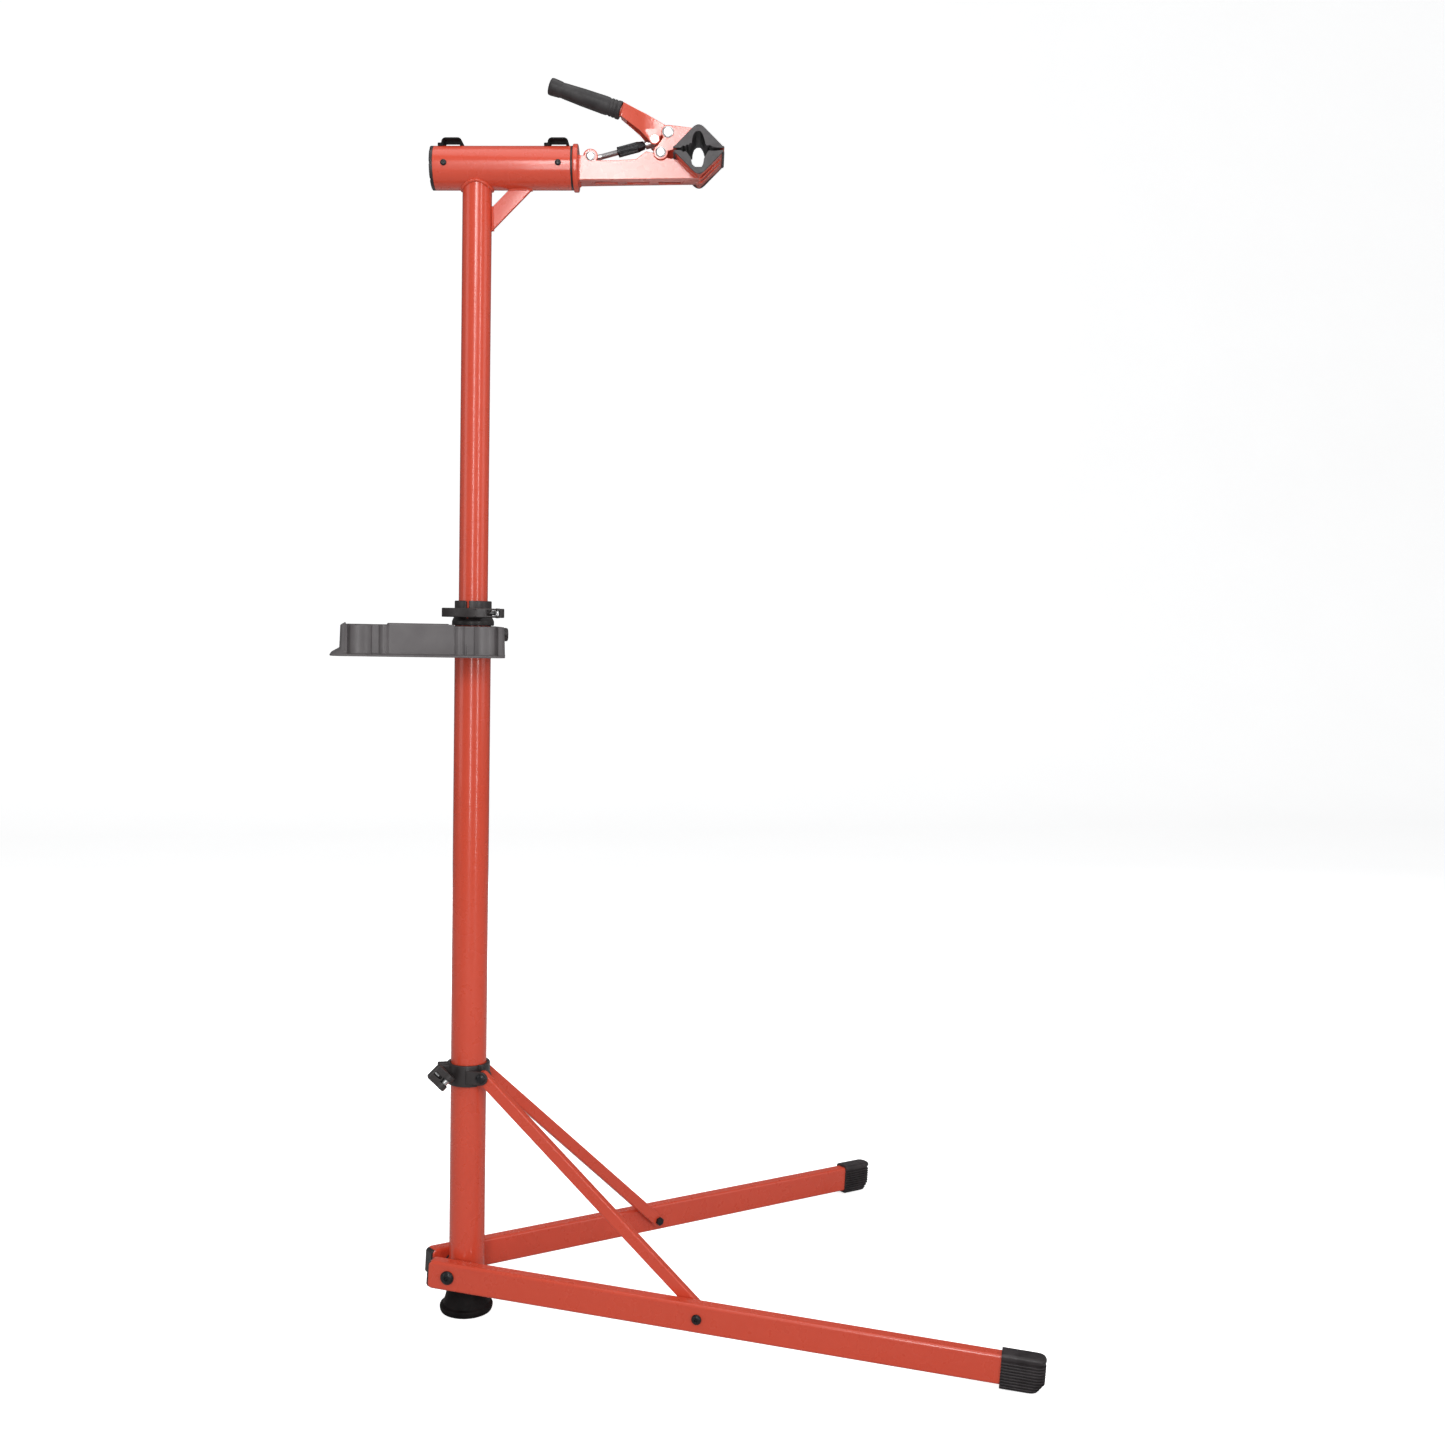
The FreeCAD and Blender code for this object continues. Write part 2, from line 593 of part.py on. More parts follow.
def collar_lever():
    """Short cam lever: two cheeks about the cross pin and a hollowed thumb plate."""
    body = new_body("collar_lever_body", CAM_FRAME)
    width = "collar_lever_width"
    plate = rectangle(0, "collar_lever_reach", -4.5, 6.5)
    pad_polygon(body, "XY", plate, width)
    pad_circle(body, "XY", (0, 0, "cam_radius"), width)
    soften(body, "2.5", lambda edge: runs_along(edge, "z", 20) and middle(edge).x > 20)
    bolt_room = rectangle("-cam_radius - 1", "eye_radius + 1", -20, 20)
    cut_polygon(body, "XY", bolt_room, "bolt_radius * 2 + 1.4")
    thumb_hollow = rectangle("eye_radius + 3", "collar_lever_reach - 4", 2, 20)
    cut_polygon(body, "XY", thumb_hollow, f"{width} * 0.45")
    cut_circle(body, "XY", (0, 0, "cam_pin_radius + running_gap"), f"{width} * 2")
    node("collar_lever", body)


# ---------------------------------------------------------------- height clamp

CLAMP = in_clamp(0, 0, 0)
CLAMP_BOLT = in_clamp(0, "-clamp_bolt_offset", "clamp_bolt_rise", spin("y", 90))
CLAMP_PIN = in_clamp("clamp_pin_reach", "-clamp_bolt_offset", 0)
CLAMP_LUG_END = "(clamp_pin_reach - lever_hub_radius - 0.1)"


def height_clamp():
    """Cast split clamp on the post's top, with lugs for its bolt on either side of the split."""
    outside = turned("clamp_casting", [
        (0, "-clamp_skirt_drop"), ("clamp_skirt_radius", "-clamp_skirt_drop"),
        ("clamp_skirt_radius", -3), ("clamp_skirt_radius - 2.5", 2), ("clamp_ring_radius", 15),
        ("clamp_ring_radius", "clamp_ring_top"), (0, "clamp_ring_top")], CLAMP)
    left_lug = box("clamp_lug_left", (-14, -37, 3), ("-clamp_split / 2", -18, 14), CLAMP)
    right_lug = box("clamp_lug_right", ("clamp_split / 2", -37, 3), (20, -15, 14), CLAMP)
    right_boss = rod("clamp_lug_boss", "5.5", 10, CLAMP_LUG_END, CLAMP_BOLT)
    upper_bore = rod("clamp_bore", "post_radius - post_wall", -1, 60, CLAMP)
    lower_bore = rod("clamp_socket", "post_radius", -60, 0, CLAMP)
    split = box("clamp_slot", ("-clamp_split / 2", -40, 0.5), ("clamp_split / 2", 0, 60), CLAMP)
    bolt_hole = rod("clamp_bolt_hole", "bolt_radius", -40, 60, CLAMP_BOLT)
    solids = joined("clamp_solids", [outside, left_lug, right_lug, right_boss])
    node("height_clamp", minus("clamp_body_cut", solids, [upper_bore, lower_bore, split, bolt_hole]))


def mast_bush():
    """Slit nylon bush in the post's mouth that guides the mast."""
    sleeve = ring("mast_bush_sleeve", "mast_radius + running_gap", "post_radius - post_wall", "-bush_depth",
                  "bush_rise", CLAMP)
    slit = box("mast_bush_slit", ("-clamp_split / 2", -30, -20), ("clamp_split / 2", 0, 60), CLAMP)
    node("mast_bush", minus("mast_bush_cut", sleeve, [slit]))


def height_clamp_bolt():
    turn = spin("y", -90)
    bolt = eye_bolt("clamp_eye_bolt", CLAMP_BOLT, "clamp_pin_reach", "-19", "-14", "8.6", turn)
    node("height_clamp_bolt", bolt)


def height_clamp_pin():
    top = "lever_bottom + lever_height + 0.6"
    pin = rod("clamp_pin_rod", "cam_pin_radius", "lever_bottom - 0.6", top, CLAMP_PIN)
    node("height_clamp_pin", pin)


def height_clamp_lever():
    """Curved lever that wraps the clamp from its upright hinge pin."""
    top = "lever_bottom + lever_height"
    half = "lever_thickness / 2"
    arc = in_clamp("lever_arc_x", "lever_arc_y", 0)
    hub = rod("lever_hub", "lever_hub_radius", "lever_bottom", top, CLAMP_PIN)
    outer = rod("lever_arc_outer", f"lever_arc_radius + {half}", "lever_bottom", top, arc)
    inner = rod("lever_arc_inner", f"lever_arc_radius - {half}", "lever_bottom - 1", f"{top} + 1", arc)
    window = box("lever_arc_window", (-36, -52, "lever_bottom"), ("clamp_pin_reach + 1", -22, top), CLAMP)
    band = doc.addObject("Part::Common", "lever_band")
    band.Base = minus("lever_arc", outer, [inner])
    band.Tool = window
    slot = box("lever_slot", ("-lever_hub_radius - 2", -20, "clamp_bolt_rise - bolt_radius - 0.6"),
               ("eye_radius + 0.4", 20, "clamp_bolt_rise + bolt_radius + 0.6"), CLAMP_PIN)
    hole = rod("lever_pin_hole", "cam_pin_radius + running_gap", -20, 40, CLAMP_PIN)
    node("height_clamp_lever", minus("clamp_lever", joined("lever_solids", [hub, band]), [slot, hole]))


# ---------------------------------------------------------------- tray

TRAY = at(0, 0, "tray_bottom")


def tool_tray():
    """Open plastic tray with a flanged floor and a hub around the post."""
    body = new_body("tray_body", TRAY)
    skin = "tray_skin"
    outer = rectangle("-tray_rear", "tray_front", "-tray_half", "tray_half")
    inner = rectangle(f"-tray_rear + {skin}", f"tray_front - {skin}",
                      f"-tray_half + {skin}", f"tray_half - {skin}")
    flange = rectangle("-tray_rear - tray_flange", "tray_front", "-tray_half - tray_flange / 2",
                       "tray_half + tray_flange / 2")
    pad_polygon(body, "XY", outer, "tray_height", both=False)
    soften(body, "tray_corner", lambda edge: runs_along(edge, "z", 40))
    cut_polygon(body, "XY", inner, f"tray_height - {skin}", "tray_height", both=False)
    pad_polygon(body, "XY", flange, skin, both=False)
    pad_circle(body, "XY", (0, 0, "tray_hub_radius"), "tray_height - 2", both=False)
    stem = new_sketch(body, "YZ", "tray_bore_radius + 1")
    add_circle(stem, 0, "knob_rise", "knob_stem_radius + 3.5")
    extrude(body, stem, "tray_front - tray_bore_radius + 1.5", both=False)
    cut_circle(body, "XY", (0, 0, "tray_bore_radius"), "tray_height * 3")
    hole = new_sketch(body, "YZ", "tray_front + 4")
    add_circle(hole, 0, "knob_rise", "knob_stem_radius + running_gap")
    extrude(body, hole, "tray_front - tray_bore_radius + 6", cut=True, both=False)
    node("tool_tray", body)


def tray_sleeve():
    """Nylon sleeve between the tray's hub and the post."""
    sleeve = ring("tray_sleeve_ring", "post_radius + running_gap", "tray_bore_radius - running_gap",
                  0.5, "tray_height - 2.5", TRAY)
    node("tray_sleeve", sleeve)


def tray_knob():
    """Clamp knob and its screw, which presses on the sleeve."""
    face = "tray_front + 2.8"
    profile = [
        (0, "tray_bore_radius + 0.1"), ("knob_stem_radius", "tray_bore_radius + 0.1"),
        ("knob_stem_radius", face), ("knob_radius - 1", face), ("knob_radius", f"{face} + 1"),
        ("knob_radius", f"{face} + 5"), ("knob_radius - 2", f"{face} + 6.7"), (0, f"{face} + 6.7"),
    ]
    node("tray_knob", turned("knob_body", profile, f"{TRAY} * {at(0, 0, 'knob_rise', spin('y', 90))}"))


# ---------------------------------------------------------------- mast and head tube

def glide_bush():
    """Nylon cup at the mast's foot that slides in the post while the mast turns in it."""
    top = "mast_bottom + glide_length"
    lip = "mast_bottom - running_gap"
    outside = "post_radius - post_wall - running_gap"
    socket = "mast_radius + running_gap"
    profile = [
        ("mast_radius - 5", "mast_bottom - 4"), (outside, "mast_bottom - 4"), (outside, top),
        (socket, top), (socket, lip), ("mast_radius - 5", lip),
    ]
    node("glide_bush", turned("glide_bush_cup", profile))


def head_cylinder(label):
    return rod(label, "head_radius", -120, 160, HEAD_AXIS)


def mast():
    tube = ring("mast_tube", "mast_radius - mast_wall", "mast_radius", "mast_bottom", "head_height")
    node("mast", minus("mast_coped", tube, [head_cylinder("mast_cope")]))


def cut_screw_holes(body, *places):
    """Screw holes square to a turned body's axis, through both of its walls."""
    for along in places:
        cut_circle(body, "XZ", (0, along, "screw_radius"), "head_radius * 3")


def head_tube():
    body = ring("head_shell", "head_radius - head_wall", "head_radius", "-head_rear", "head_front", HEAD_AXIS)
    cut_screw_holes(body, "-screw_rear", "screw_front")
    node("head_tube", body)


def head_gusset():
    """Flat bar welded from the mast up to the head tube at 45 degrees."""
    body = new_body("gusset_bar", HEAD)
    start = "mast_radius - 3"
    reach = "gusset_width * sqrt(2)"
    top = "-head_radius + 3"
    corners = [
        (start, "-gusset_drop"), (f"{start} + gusset_run", top), (f"{start} + gusset_run + {reach}", top),
        (start, f"-gusset_drop - {reach}"),
    ]
    pad_polygon(body, "XZ", corners, "gusset_thickness")
    mast_room = rod("gusset_mast_room", "mast_radius", 0, "head_height", at(0, 0, 0))
    node("head_gusset", minus("gusset_cut", body, [mast_room, head_cylinder("gusset_head_room")]))


def spindle_bush(name, profile, screw, notched_at):
    """Nylon bearing bush with a flange outside the head tube."""
    body = turned(f"{name}_body", profile, HEAD_AXIS)
    cut_screw_holes(body, screw)
    if notched_at:
        doc.recompute()
        whole = body.Tip.Shape.Volume
        outline = rectangle("head_radius - 3", "head_radius + 1", -1.6, 1.6)
        notch = cut_polygon(body, "XY", outline, 5, notched_at)
        pattern = body.newObject("PartDesign::PolarPattern", f"{name}_notches")
        pattern.Originals = [notch]
        axis = next(line for line in body.Origin.OriginFeatures if line.Role == "Z_Axis")
        pattern.Axis = (axis, [""])
        pattern.Angle = 360
        pattern.Occurrences = 8
        body.Tip = pattern
        doc.recompute()
        if body.Shape.Volume >= whole:
            raise ValueError(f"{name}: the notches cut nothing")
    node(name, body)


def spindle_bushes():
    bore = "spindle_radius + running_gap"
    sleeve = "head_radius - head_wall"
    rear_end = "-head_rear - bush_flange"
    rear = [
        (bore, rear_end), ("head_radius", rear_end), ("head_radius", "-head_rear"), (sleeve, "-head_rear"),
        (sleeve, "-head_rear + bush_insert"), (bore, "-head_rear + bush_insert"),
    ]
    front_end = "head_front + front_flange"
    front = [
        (bore, front_end), ("head_radius", front_end), ("head_radius", "head_front"),
        (sleeve, "head_front"), (sleeve, "head_front - bush_insert"), (bore, "head_front - bush_insert"),
    ]
    spindle_bush("spindle_bush_rear", rear, "-screw_rear", rear_end)
    spindle_bush("spindle_bush_front", front, "screw_front", None)


def bush_screws():
    """Button-head screws that hold the bushes in the head tube, two to each bush."""
    screws = []
    for along in ("-screw_rear", "screw_front"):
        for turn in (90, -90):
            place = in_head(along, 0, spin("x", turn))
            screws.append(domed_bolt(f"bush_screw_{len(screws)}", "screw_radius", "screw_radius + 1.7",
                                     "head_radius - 8", "head_radius", 2.2, place))
    node("bush_screws", group("bush_screw_set", screws))


def hose_clips():
    """Two open saddle clips that sit on top of the head tube."""
    clips = []
    for index, start in enumerate(("clip_rear", "clip_front")):
        body = new_body(f"clip_{index}", HEAD)
        end = f"{start} + clip_length"
        arch = rectangle(start, end, 22, "clip_top")
        hollow = rectangle(f"{start} + 3", f"{end} - 3", 20, "clip_top - 3")
        tail = rectangle(f"{start} - 5", f"{start} + 3", 22, "head_radius + 2")
        pad_polygon(body, "XZ", arch, "clip_width")
        soften(body, "6", lambda edge: runs_along(edge, "y", 20) and middle(edge).z > 37)
        cut_polygon(body, "XZ", hollow, "clip_width * 2")
        pad_polygon(body, "XZ", tail, "clip_width")
        clips.append(minus(f"clip_seated_{index}", body, [head_cylinder(f"clip_seat_{index}")]))
    node("hose_clips", group("clip_pair", clips))


# ---------------------------------------------------------------- clamp spindle

FLANGE_BACK = "(head_front + front_flange + 0.2)"
FLANGE_FRONT = f"({FLANGE_BACK} + flange_thickness)"
CIRCLIP_BACK = "(head_front - bush_insert - 2.2)"
CIRCLIP_FRONT = "(head_front - bush_insert - 0.6)"


def clamp_spindle():
    """Hollow shaft that turns in the head tube, with a flange that carries the clamp."""
    bore = "spindle_radius - spindle_wall"
    groove = "spindle_radius - 1"
    profile = [
        (bore, "-spindle_rear"), ("spindle_radius", "-spindle_rear"), ("spindle_radius", CIRCLIP_BACK),
        (groove, CIRCLIP_BACK), (groove, CIRCLIP_FRONT), ("spindle_radius", CIRCLIP_FRONT),
        ("spindle_radius", FLANGE_BACK), ("flange_radius - 1", FLANGE_BACK),
        ("flange_radius", f"{FLANGE_BACK} + 1"), ("flange_radius", f"{FLANGE_FRONT} - 1"),
        ("flange_radius - 1", FLANGE_FRONT), (0, FLANGE_FRONT), (0, FLANGE_BACK), (bore, FLANGE_BACK),
    ]
    node("clamp_spindle", turned("spindle_shaft", profile, HEAD_AXIS))


def spindle_circlip():
    """Retaining ring behind the front bush; it stops the spindle from pulling out."""
    body = ring("circlip_ring", "spindle_radius - 1", "spindle_radius + 3", CIRCLIP_BACK,
                CIRCLIP_FRONT, HEAD_AXIS)
    mouth = rectangle("spindle_radius - 4", "spindle_radius + 6", -4, 4)
    cut_polygon(body, "XY", mouth, 20, CIRCLIP_BACK)
    node("spindle_circlip", body)


# ---------------------------------------------------------------- clamp jaws

def vee(opens, depth_from, depth_to):
    """Corners of one V-shaped wall, which opens up for opens 1 and down for opens -1.

    depth_from and depth_to are measured square to the wall, inward from the outer diamond.
    """
    corners = []
    for depth, order in ((depth_from, (-1, 0, 1)), (depth_to, (1, 0, -1))):
        half = f"(vee_half - ({depth}) * sqrt(2))"
        for step in order:
            across = f"({half} - vee_gap / 2)" if step else "0"
            level = "vee_gap / 2" if step else half
            corners.append((f"vee_x + {step} * {across}", f"vee_z - {opens} * {level}"))
    return corners


def clamp_body():
    """Channel welded to the flange, with the link and jaw lobes and the fixed lower vee."""
    body = new_body("channel", HEAD)
    width = "channel_half * 2"
    floor = "-channel_bottom"
    side = [
        (FLANGE_FRONT, floor), ("vee_x", floor), ("vee_x - vee_half + 11", "vee_z - 9"),
        ("jaw_x + 6", "jaw_z - 6"), ("jaw_x - lobe_radius", "jaw_z"), ("jaw_x - 20", 18),
        ("jaw_x - 34", 7.5), ("link_x + 26", 6), ("link_x + 8", 6), ("link_x", "link_z"),
        ("link_x - 9", "link_z"), (FLANGE_FRONT, 14),
    ]
    pad_polygon(body, "XZ", side, width)
    pad_circle(body, "XZ", ("link_x", "link_z", "lobe_radius"), width)
    pad_circle(body, "XZ", ("jaw_x", "jaw_z", "lobe_radius"), width)
    room_floor = "-channel_bottom + channel_wall"
    room = [
        (FLANGE_FRONT, room_floor), ("channel_end - 6", room_floor),
        ("vee_x - vee_half + 4", "vee_z - 4"), ("vee_x - vee_half + 4", 60), (FLANGE_FRONT, 60),
    ]
    cut_polygon(body, "XZ", room, "(channel_half - channel_wall) * 2")
    pad_polygon(body, "XZ", vee(1, 0, "vee_wall"), "vee_depth")
    for count in range(3):
        start = f"(slot_start + {count} * slot_pitch)"
        slot = rectangle(start, f"{start} + slot_length", -5, 5)
        cut_polygon(body, "XY", slot, 8, "-channel_bottom")
    cut_circle(body, "XZ", ("link_x", "link_z", "rivet_radius"), "80")
    cut_circle(body, "XZ", ("jaw_x", "jaw_z", "rivet_radius"), "80")
    node("clamp_body", body)


def jaw_pad(name, opens):
    """Rubber pad that lines a vee, with a lip at each end that covers the edge of the metal."""
    body = new_body(f"{name}_body", HEAD)
    pad_polygon(body, "XZ", vee(opens, "vee_wall", "vee_wall + pad_thickness"), "vee_depth")
    for offset in ("vee_depth / 2", "-vee_depth / 2 - pad_lip"):
        outline = vee(opens, "0", "vee_wall + pad_thickness")
        pad_polygon(body, "XZ", outline, "pad_lip", offset, both=False)
    node(name, body)


JAW_INSIDE = "(channel_half + 0.25)"
JAW_OUTSIDE = "(channel_half + 0.25 + channel_wall)"


def upper_jaw():
    """Two plates outside the channel that carry the moving upper vee."""
    body = new_body("jaw_plates", HEAD)
    width = f"{JAW_OUTSIDE} * 2"
    outline = [
        ("jaw_x - 5", "jaw_z + 8"), ("jaw_x", "jaw_z - 4"), ("jaw_x + 9", "jaw_z + 1"),
        ("vee_x - vee_half + 6", "vee_z + 5"), ("vee_x - 1", "vee_z + vee_half - 2"),
        ("handle_x + 4", "handle_z + 9"), ("handle_x", "handle_z"), ("handle_x - 6", "handle_z - 6"),
    ]
    pad_polygon(body, "XZ", outline, width)
    pad_circle(body, "XZ", ("jaw_x", "jaw_z", "lobe_radius"), width)
    pad_circle(body, "XZ", ("handle_x", "handle_z", "lobe_radius - 0.5"), width)
    cut_polygon(body, "XZ", rectangle("jaw_x - 40", "vee_x + 40", -60, 100), f"{JAW_INSIDE} * 2")
    pad_polygon(body, "XZ", vee(-1, 0, "vee_wall"), "vee_depth")
    cut_circle(body, "XZ", ("jaw_x", "jaw_z", "rivet_radius + running_gap"), "80")
    cut_circle(body, "XZ", ("handle_x", "handle_z", "rivet_radius"), "80")
    node("upper_jaw", body)


def through_rivet(name, x, z, half):
    """Rivet across the clamp with a low domed head on each side, half away from the middle."""
    head = "rivet_radius * 1.75"
    edge = f"(({half}) + 0.8)"
    top = f"(({half}) + 2.2)"
    profile = [
        (0, f"-{top}"), ("rivet_radius", f"-{top}"), (head, f"-{edge}"), (head, f"-({half})"),
        ("rivet_radius", f"-({half})"), ("rivet_radius", half), (head, half), (head, edge),
        ("rivet_radius", top), (0, top),
    ]
    node(name, turned(f"{name}_body", profile, in_head(x, z, spin("x", 90))))


def rivets():
    through_rivet("link_rivet", "link_x", "link_z", "channel_half")
    through_rivet("jaw_rivet", "jaw_x", "jaw_z", f"{JAW_OUTSIDE} + side_gap")
    through_rivet("handle_rivet", "handle_x", "handle_z", JAW_OUTSIDE)


def rod_rivets():
    """Rivet stubs in the two handle plates at the link's end; they end flush inside."""
    stubs = []
    inner = "handle_half - channel_wall"
    head = "rivet_radius * 1.4"
    profile = [
        (0, inner), ("rivet_radius", inner), ("rivet_radius", "handle_half"), (head, "handle_half"),
        (head, "handle_half + 0.25"), (0, "handle_half + 0.25"),
    ]
    for turn in (90, -90):
        place = in_head("rod_end_x", "rod_end_z", spin("x", turn))
        stubs.append(turned(f"rod_rivet_{len(stubs)}", profile, place))
    node("rod_rivets", group("rod_rivet_pair", stubs))


# ---------------------------------------------------------------- clamp handle

GRIP_RUN = "sqrt((grip_end_x - grip_start_x) ^ 2 + (grip_end_z - grip_start_z) ^ 2)"
GRIP_TURN = f"(-acos((grip_end_z - grip_start_z) / {GRIP_RUN}))"
GRIP = in_head("grip_start_x", "grip_start_z", spin("y", GRIP_TURN))


def clamp_handle():
    """Folded channel handle with a round tang for the grip."""
    body = new_body("handle_channel", HEAD)
    width = "handle_half * 2"
    outline = [
        ("grip_start_x", "grip_start_z - 9"), ("rod_end_x - 20", "rod_end_z + 12"),
        ("rod_end_x - 6", "rod_end_z - 4"), ("rod_end_x", "rod_end_z"), ("handle_x", "handle_z"),
        ("handle_x + 2", "handle_z + 7"), ("grip_start_x + 4", "grip_start_z + 9"),
    ]
    pad_polygon(body, "XZ", outline, width)
    for x, z in (("rod_end_x", "rod_end_z"), ("handle_x", "handle_z")):
        pad_circle(body, "XZ", (x, z, "lobe_radius - 2.5"), width)
    inner = "handle_half - channel_wall"
    room = [
        ("grip_start_x + 8", "grip_start_z - 6"), ("grip_start_x + 8", "grip_start_z - 40"),
        ("handle_x + 30", "rod_end_z - 30"), ("handle_x + 30", "handle_z + 9"),
        ("rod_end_x - 14", "rod_end_z + 20"),
    ]
    cut_polygon(body, "XZ", room, f"({inner}) * 2")
    cut_circle(body, "XZ", ("handle_x", "handle_z", "rivet_radius + running_gap"), "80")
    cut_circle(body, "XZ", ("rod_end_x", "rod_end_z", "rivet_radius"), "80")
    tang = rod("handle_tang", "tang_radius", -8, f"{GRIP_RUN} - 5", GRIP)
    node("clamp_handle", joined("handle_with_tang", [body, tang]))


def handle_grip():
    """Moulded grip pushed over the tang: flared end, waist bulge and a collar by the handle."""
    run = GRIP_RUN
    big = "grip_radius"
    profile = [
        ("tang_radius", 0), (f"{big} - 0.5", 0), (big, 1), (big, f"{run} * 0.2"),
        (f"{big} - 0.8", f"{run} * 0.24"), (f"{big} + 0.2", f"{run} * 0.5"),
        (f"{big} - 2", f"{run} * 0.84"), (f"{big} - 0.6", f"{run} * 0.86"),
        (f"{big} - 0.4", f"{run} - 1"), (f"{big} - 1.5", run), (0, run), (0, f"{run} - 5"),
        ("tang_radius", f"{run} - 5"),
    ]
    node("handle_grip", turned("grip_body", profile, GRIP))


# ---------------------------------------------------------------- adjustable link

LINK_RUN = "sqrt((rod_end_x - link_x) ^ 2 + (rod_end_z - link_z) ^ 2)"
LINK_TURN = f"acos((rod_end_z - link_z) / {LINK_RUN})"
LINK = in_head("link_x", "link_z", spin("y", LINK_TURN))


def link_rod():
    """Threaded rod with an eye on the link rivet."""
    half = "channel_half - channel_wall - 0.3"
    across = in_head("link_x", "link_z", spin("x", 90))
    eye = rod("link_eye", "lobe_radius - 2.5", f"-({half})", half, across)
    shank = rod("link_shank", "rod_radius", 0, f"{LINK_RUN} - 10", LINK)
    hole = rod("link_eye_hole", "rivet_radius + running_gap", -30, 30, across)
    node("link_rod", minus("link_rod_drilled", joined("link_rod_solids", [eye, shank]), [hole]))


def rod_end_block():
    """Swivel block on the rod's far end that sits between the handle plates."""
    half = "handle_half - channel_wall - 0.4"
    place = in_head("rod_end_x", "rod_end_z", spin("x", 90))
    block = rod("rod_block", "rod_block_radius", f"-({half})", half, place)
    neck = rod("rod_neck", "rod_block_radius", f"{LINK_RUN} - 14", LINK_RUN, LINK)
    shank = rod("rod_block_bore", "rod_radius", 0, f"{LINK_RUN} - 10", LINK)
    node("rod_end_block", minus("rod_block_cut", joined("rod_block_solids", [block, neck]), [shank]))


def adjuster_barrel():
    """Turning sleeve on the rod that sets the clamping width."""
    end = "barrel_start + barrel_length"
    profile = [
        ("rod_radius + running_gap", "barrel_start"), ("barrel_radius - 1", "barrel_start"),
        ("barrel_radius", "barrel_start + 1"), ("barrel_radius", f"{end} - 1"),
        ("barrel_radius - 1", end), ("rod_radius + running_gap", end),
    ]
    node("adjuster_barrel", turned("barrel_body", profile, LINK))


# ---------------------------------------------------------------- build and write

SINGLE_PIECES = (
    lower_post, post_boot, leg_bosses, leg_pivot_bolts, leg_pivot_washers,
    slide_collar, collar_pins, collar_bolt, collar_cam_seat, collar_cam_pin, collar_lever,
    height_clamp, mast_bush, height_clamp_bolt, height_clamp_pin, height_clamp_lever,
    tool_tray, tray_sleeve, tray_knob,
    glide_bush, mast, head_tube, head_gusset, spindle_bushes, bush_screws, hose_clips,
    clamp_spindle, spindle_circlip, clamp_body, upper_jaw, rivets, rod_rivets,
    clamp_handle, handle_grip, link_rod, rod_end_block, adjuster_barrel,
)
SIDE_PIECES = (leg, leg_bush, leg_plug, leg_foot, brace_bolt, brace, brace_nut)


def build():
    fill_sheet()
    for make in SINGLE_PIECES:
        make()
    for name, side in SIDES.items():
        for make in SIDE_PIECES:
            make(name, side)
    jaw_pad("lower_pad", opens=1)
    jaw_pad("upper_pad", opens=-1)
    doc.recompute()


def is_sound(shape):
    return not shape.isNull() and shape.isValid() and bool(shape.Solids)


def check():
    """Stop before writing if any feature failed or any sub-part is not a sound solid."""
    failed = [obj.Label for obj in doc.Objects if {"Invalid", "Error"} & set(obj.State)]
    unsound = [name for name, obj in node_objects.items() if not is_sound(obj.Shape)]
    if failed or unsound:
        raise RuntimeError(f"failed features: {failed}; unsound sub-parts: {unsound}")


def write():
    os.makedirs(PARTS_FOLDER, exist_ok=True)
    for name, obj in node_objects.items():
        obj.Shape.exportStep(os.path.join(PARTS_FOLDER, f"{name}.step"))


build()
check()
write()
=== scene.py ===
"""Looks of the bicycle repair stand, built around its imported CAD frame.

The scene is in metres, in the frame of the CAD: Z up, X forward between the legs, origin on the
post's axis at the floor. Each piece is drawn in millimetres in a local frame (a matrix named place),
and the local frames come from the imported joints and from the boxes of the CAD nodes.
"""
import json
import math

import bmesh
import bpy
from mathutils import Matrix, Vector


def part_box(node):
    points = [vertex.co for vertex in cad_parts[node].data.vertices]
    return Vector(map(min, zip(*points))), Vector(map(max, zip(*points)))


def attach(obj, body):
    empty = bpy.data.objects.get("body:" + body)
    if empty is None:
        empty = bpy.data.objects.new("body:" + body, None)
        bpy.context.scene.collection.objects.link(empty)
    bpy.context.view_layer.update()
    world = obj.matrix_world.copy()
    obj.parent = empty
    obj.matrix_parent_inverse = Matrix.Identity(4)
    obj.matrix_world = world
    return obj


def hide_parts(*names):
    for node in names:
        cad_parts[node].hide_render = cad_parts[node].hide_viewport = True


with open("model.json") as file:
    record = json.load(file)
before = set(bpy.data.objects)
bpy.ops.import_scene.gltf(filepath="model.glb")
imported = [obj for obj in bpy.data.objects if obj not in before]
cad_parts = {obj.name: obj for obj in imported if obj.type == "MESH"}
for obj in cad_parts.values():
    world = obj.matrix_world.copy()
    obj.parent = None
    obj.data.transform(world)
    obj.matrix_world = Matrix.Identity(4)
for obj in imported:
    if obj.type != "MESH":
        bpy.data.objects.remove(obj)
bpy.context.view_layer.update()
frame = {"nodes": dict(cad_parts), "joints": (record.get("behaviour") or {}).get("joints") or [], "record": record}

MM = 0.001
FULL_TURN = 2 * math.pi
LEG_SLOPE = math.radians(2.88)
SIDES = ("right", "left")
nodes = frame["nodes"]


# ---------------------------------------------------------------- places

def joint(name):
    """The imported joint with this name, at rest."""
    return next(j for j in frame["joints"] if j["name"] == name)


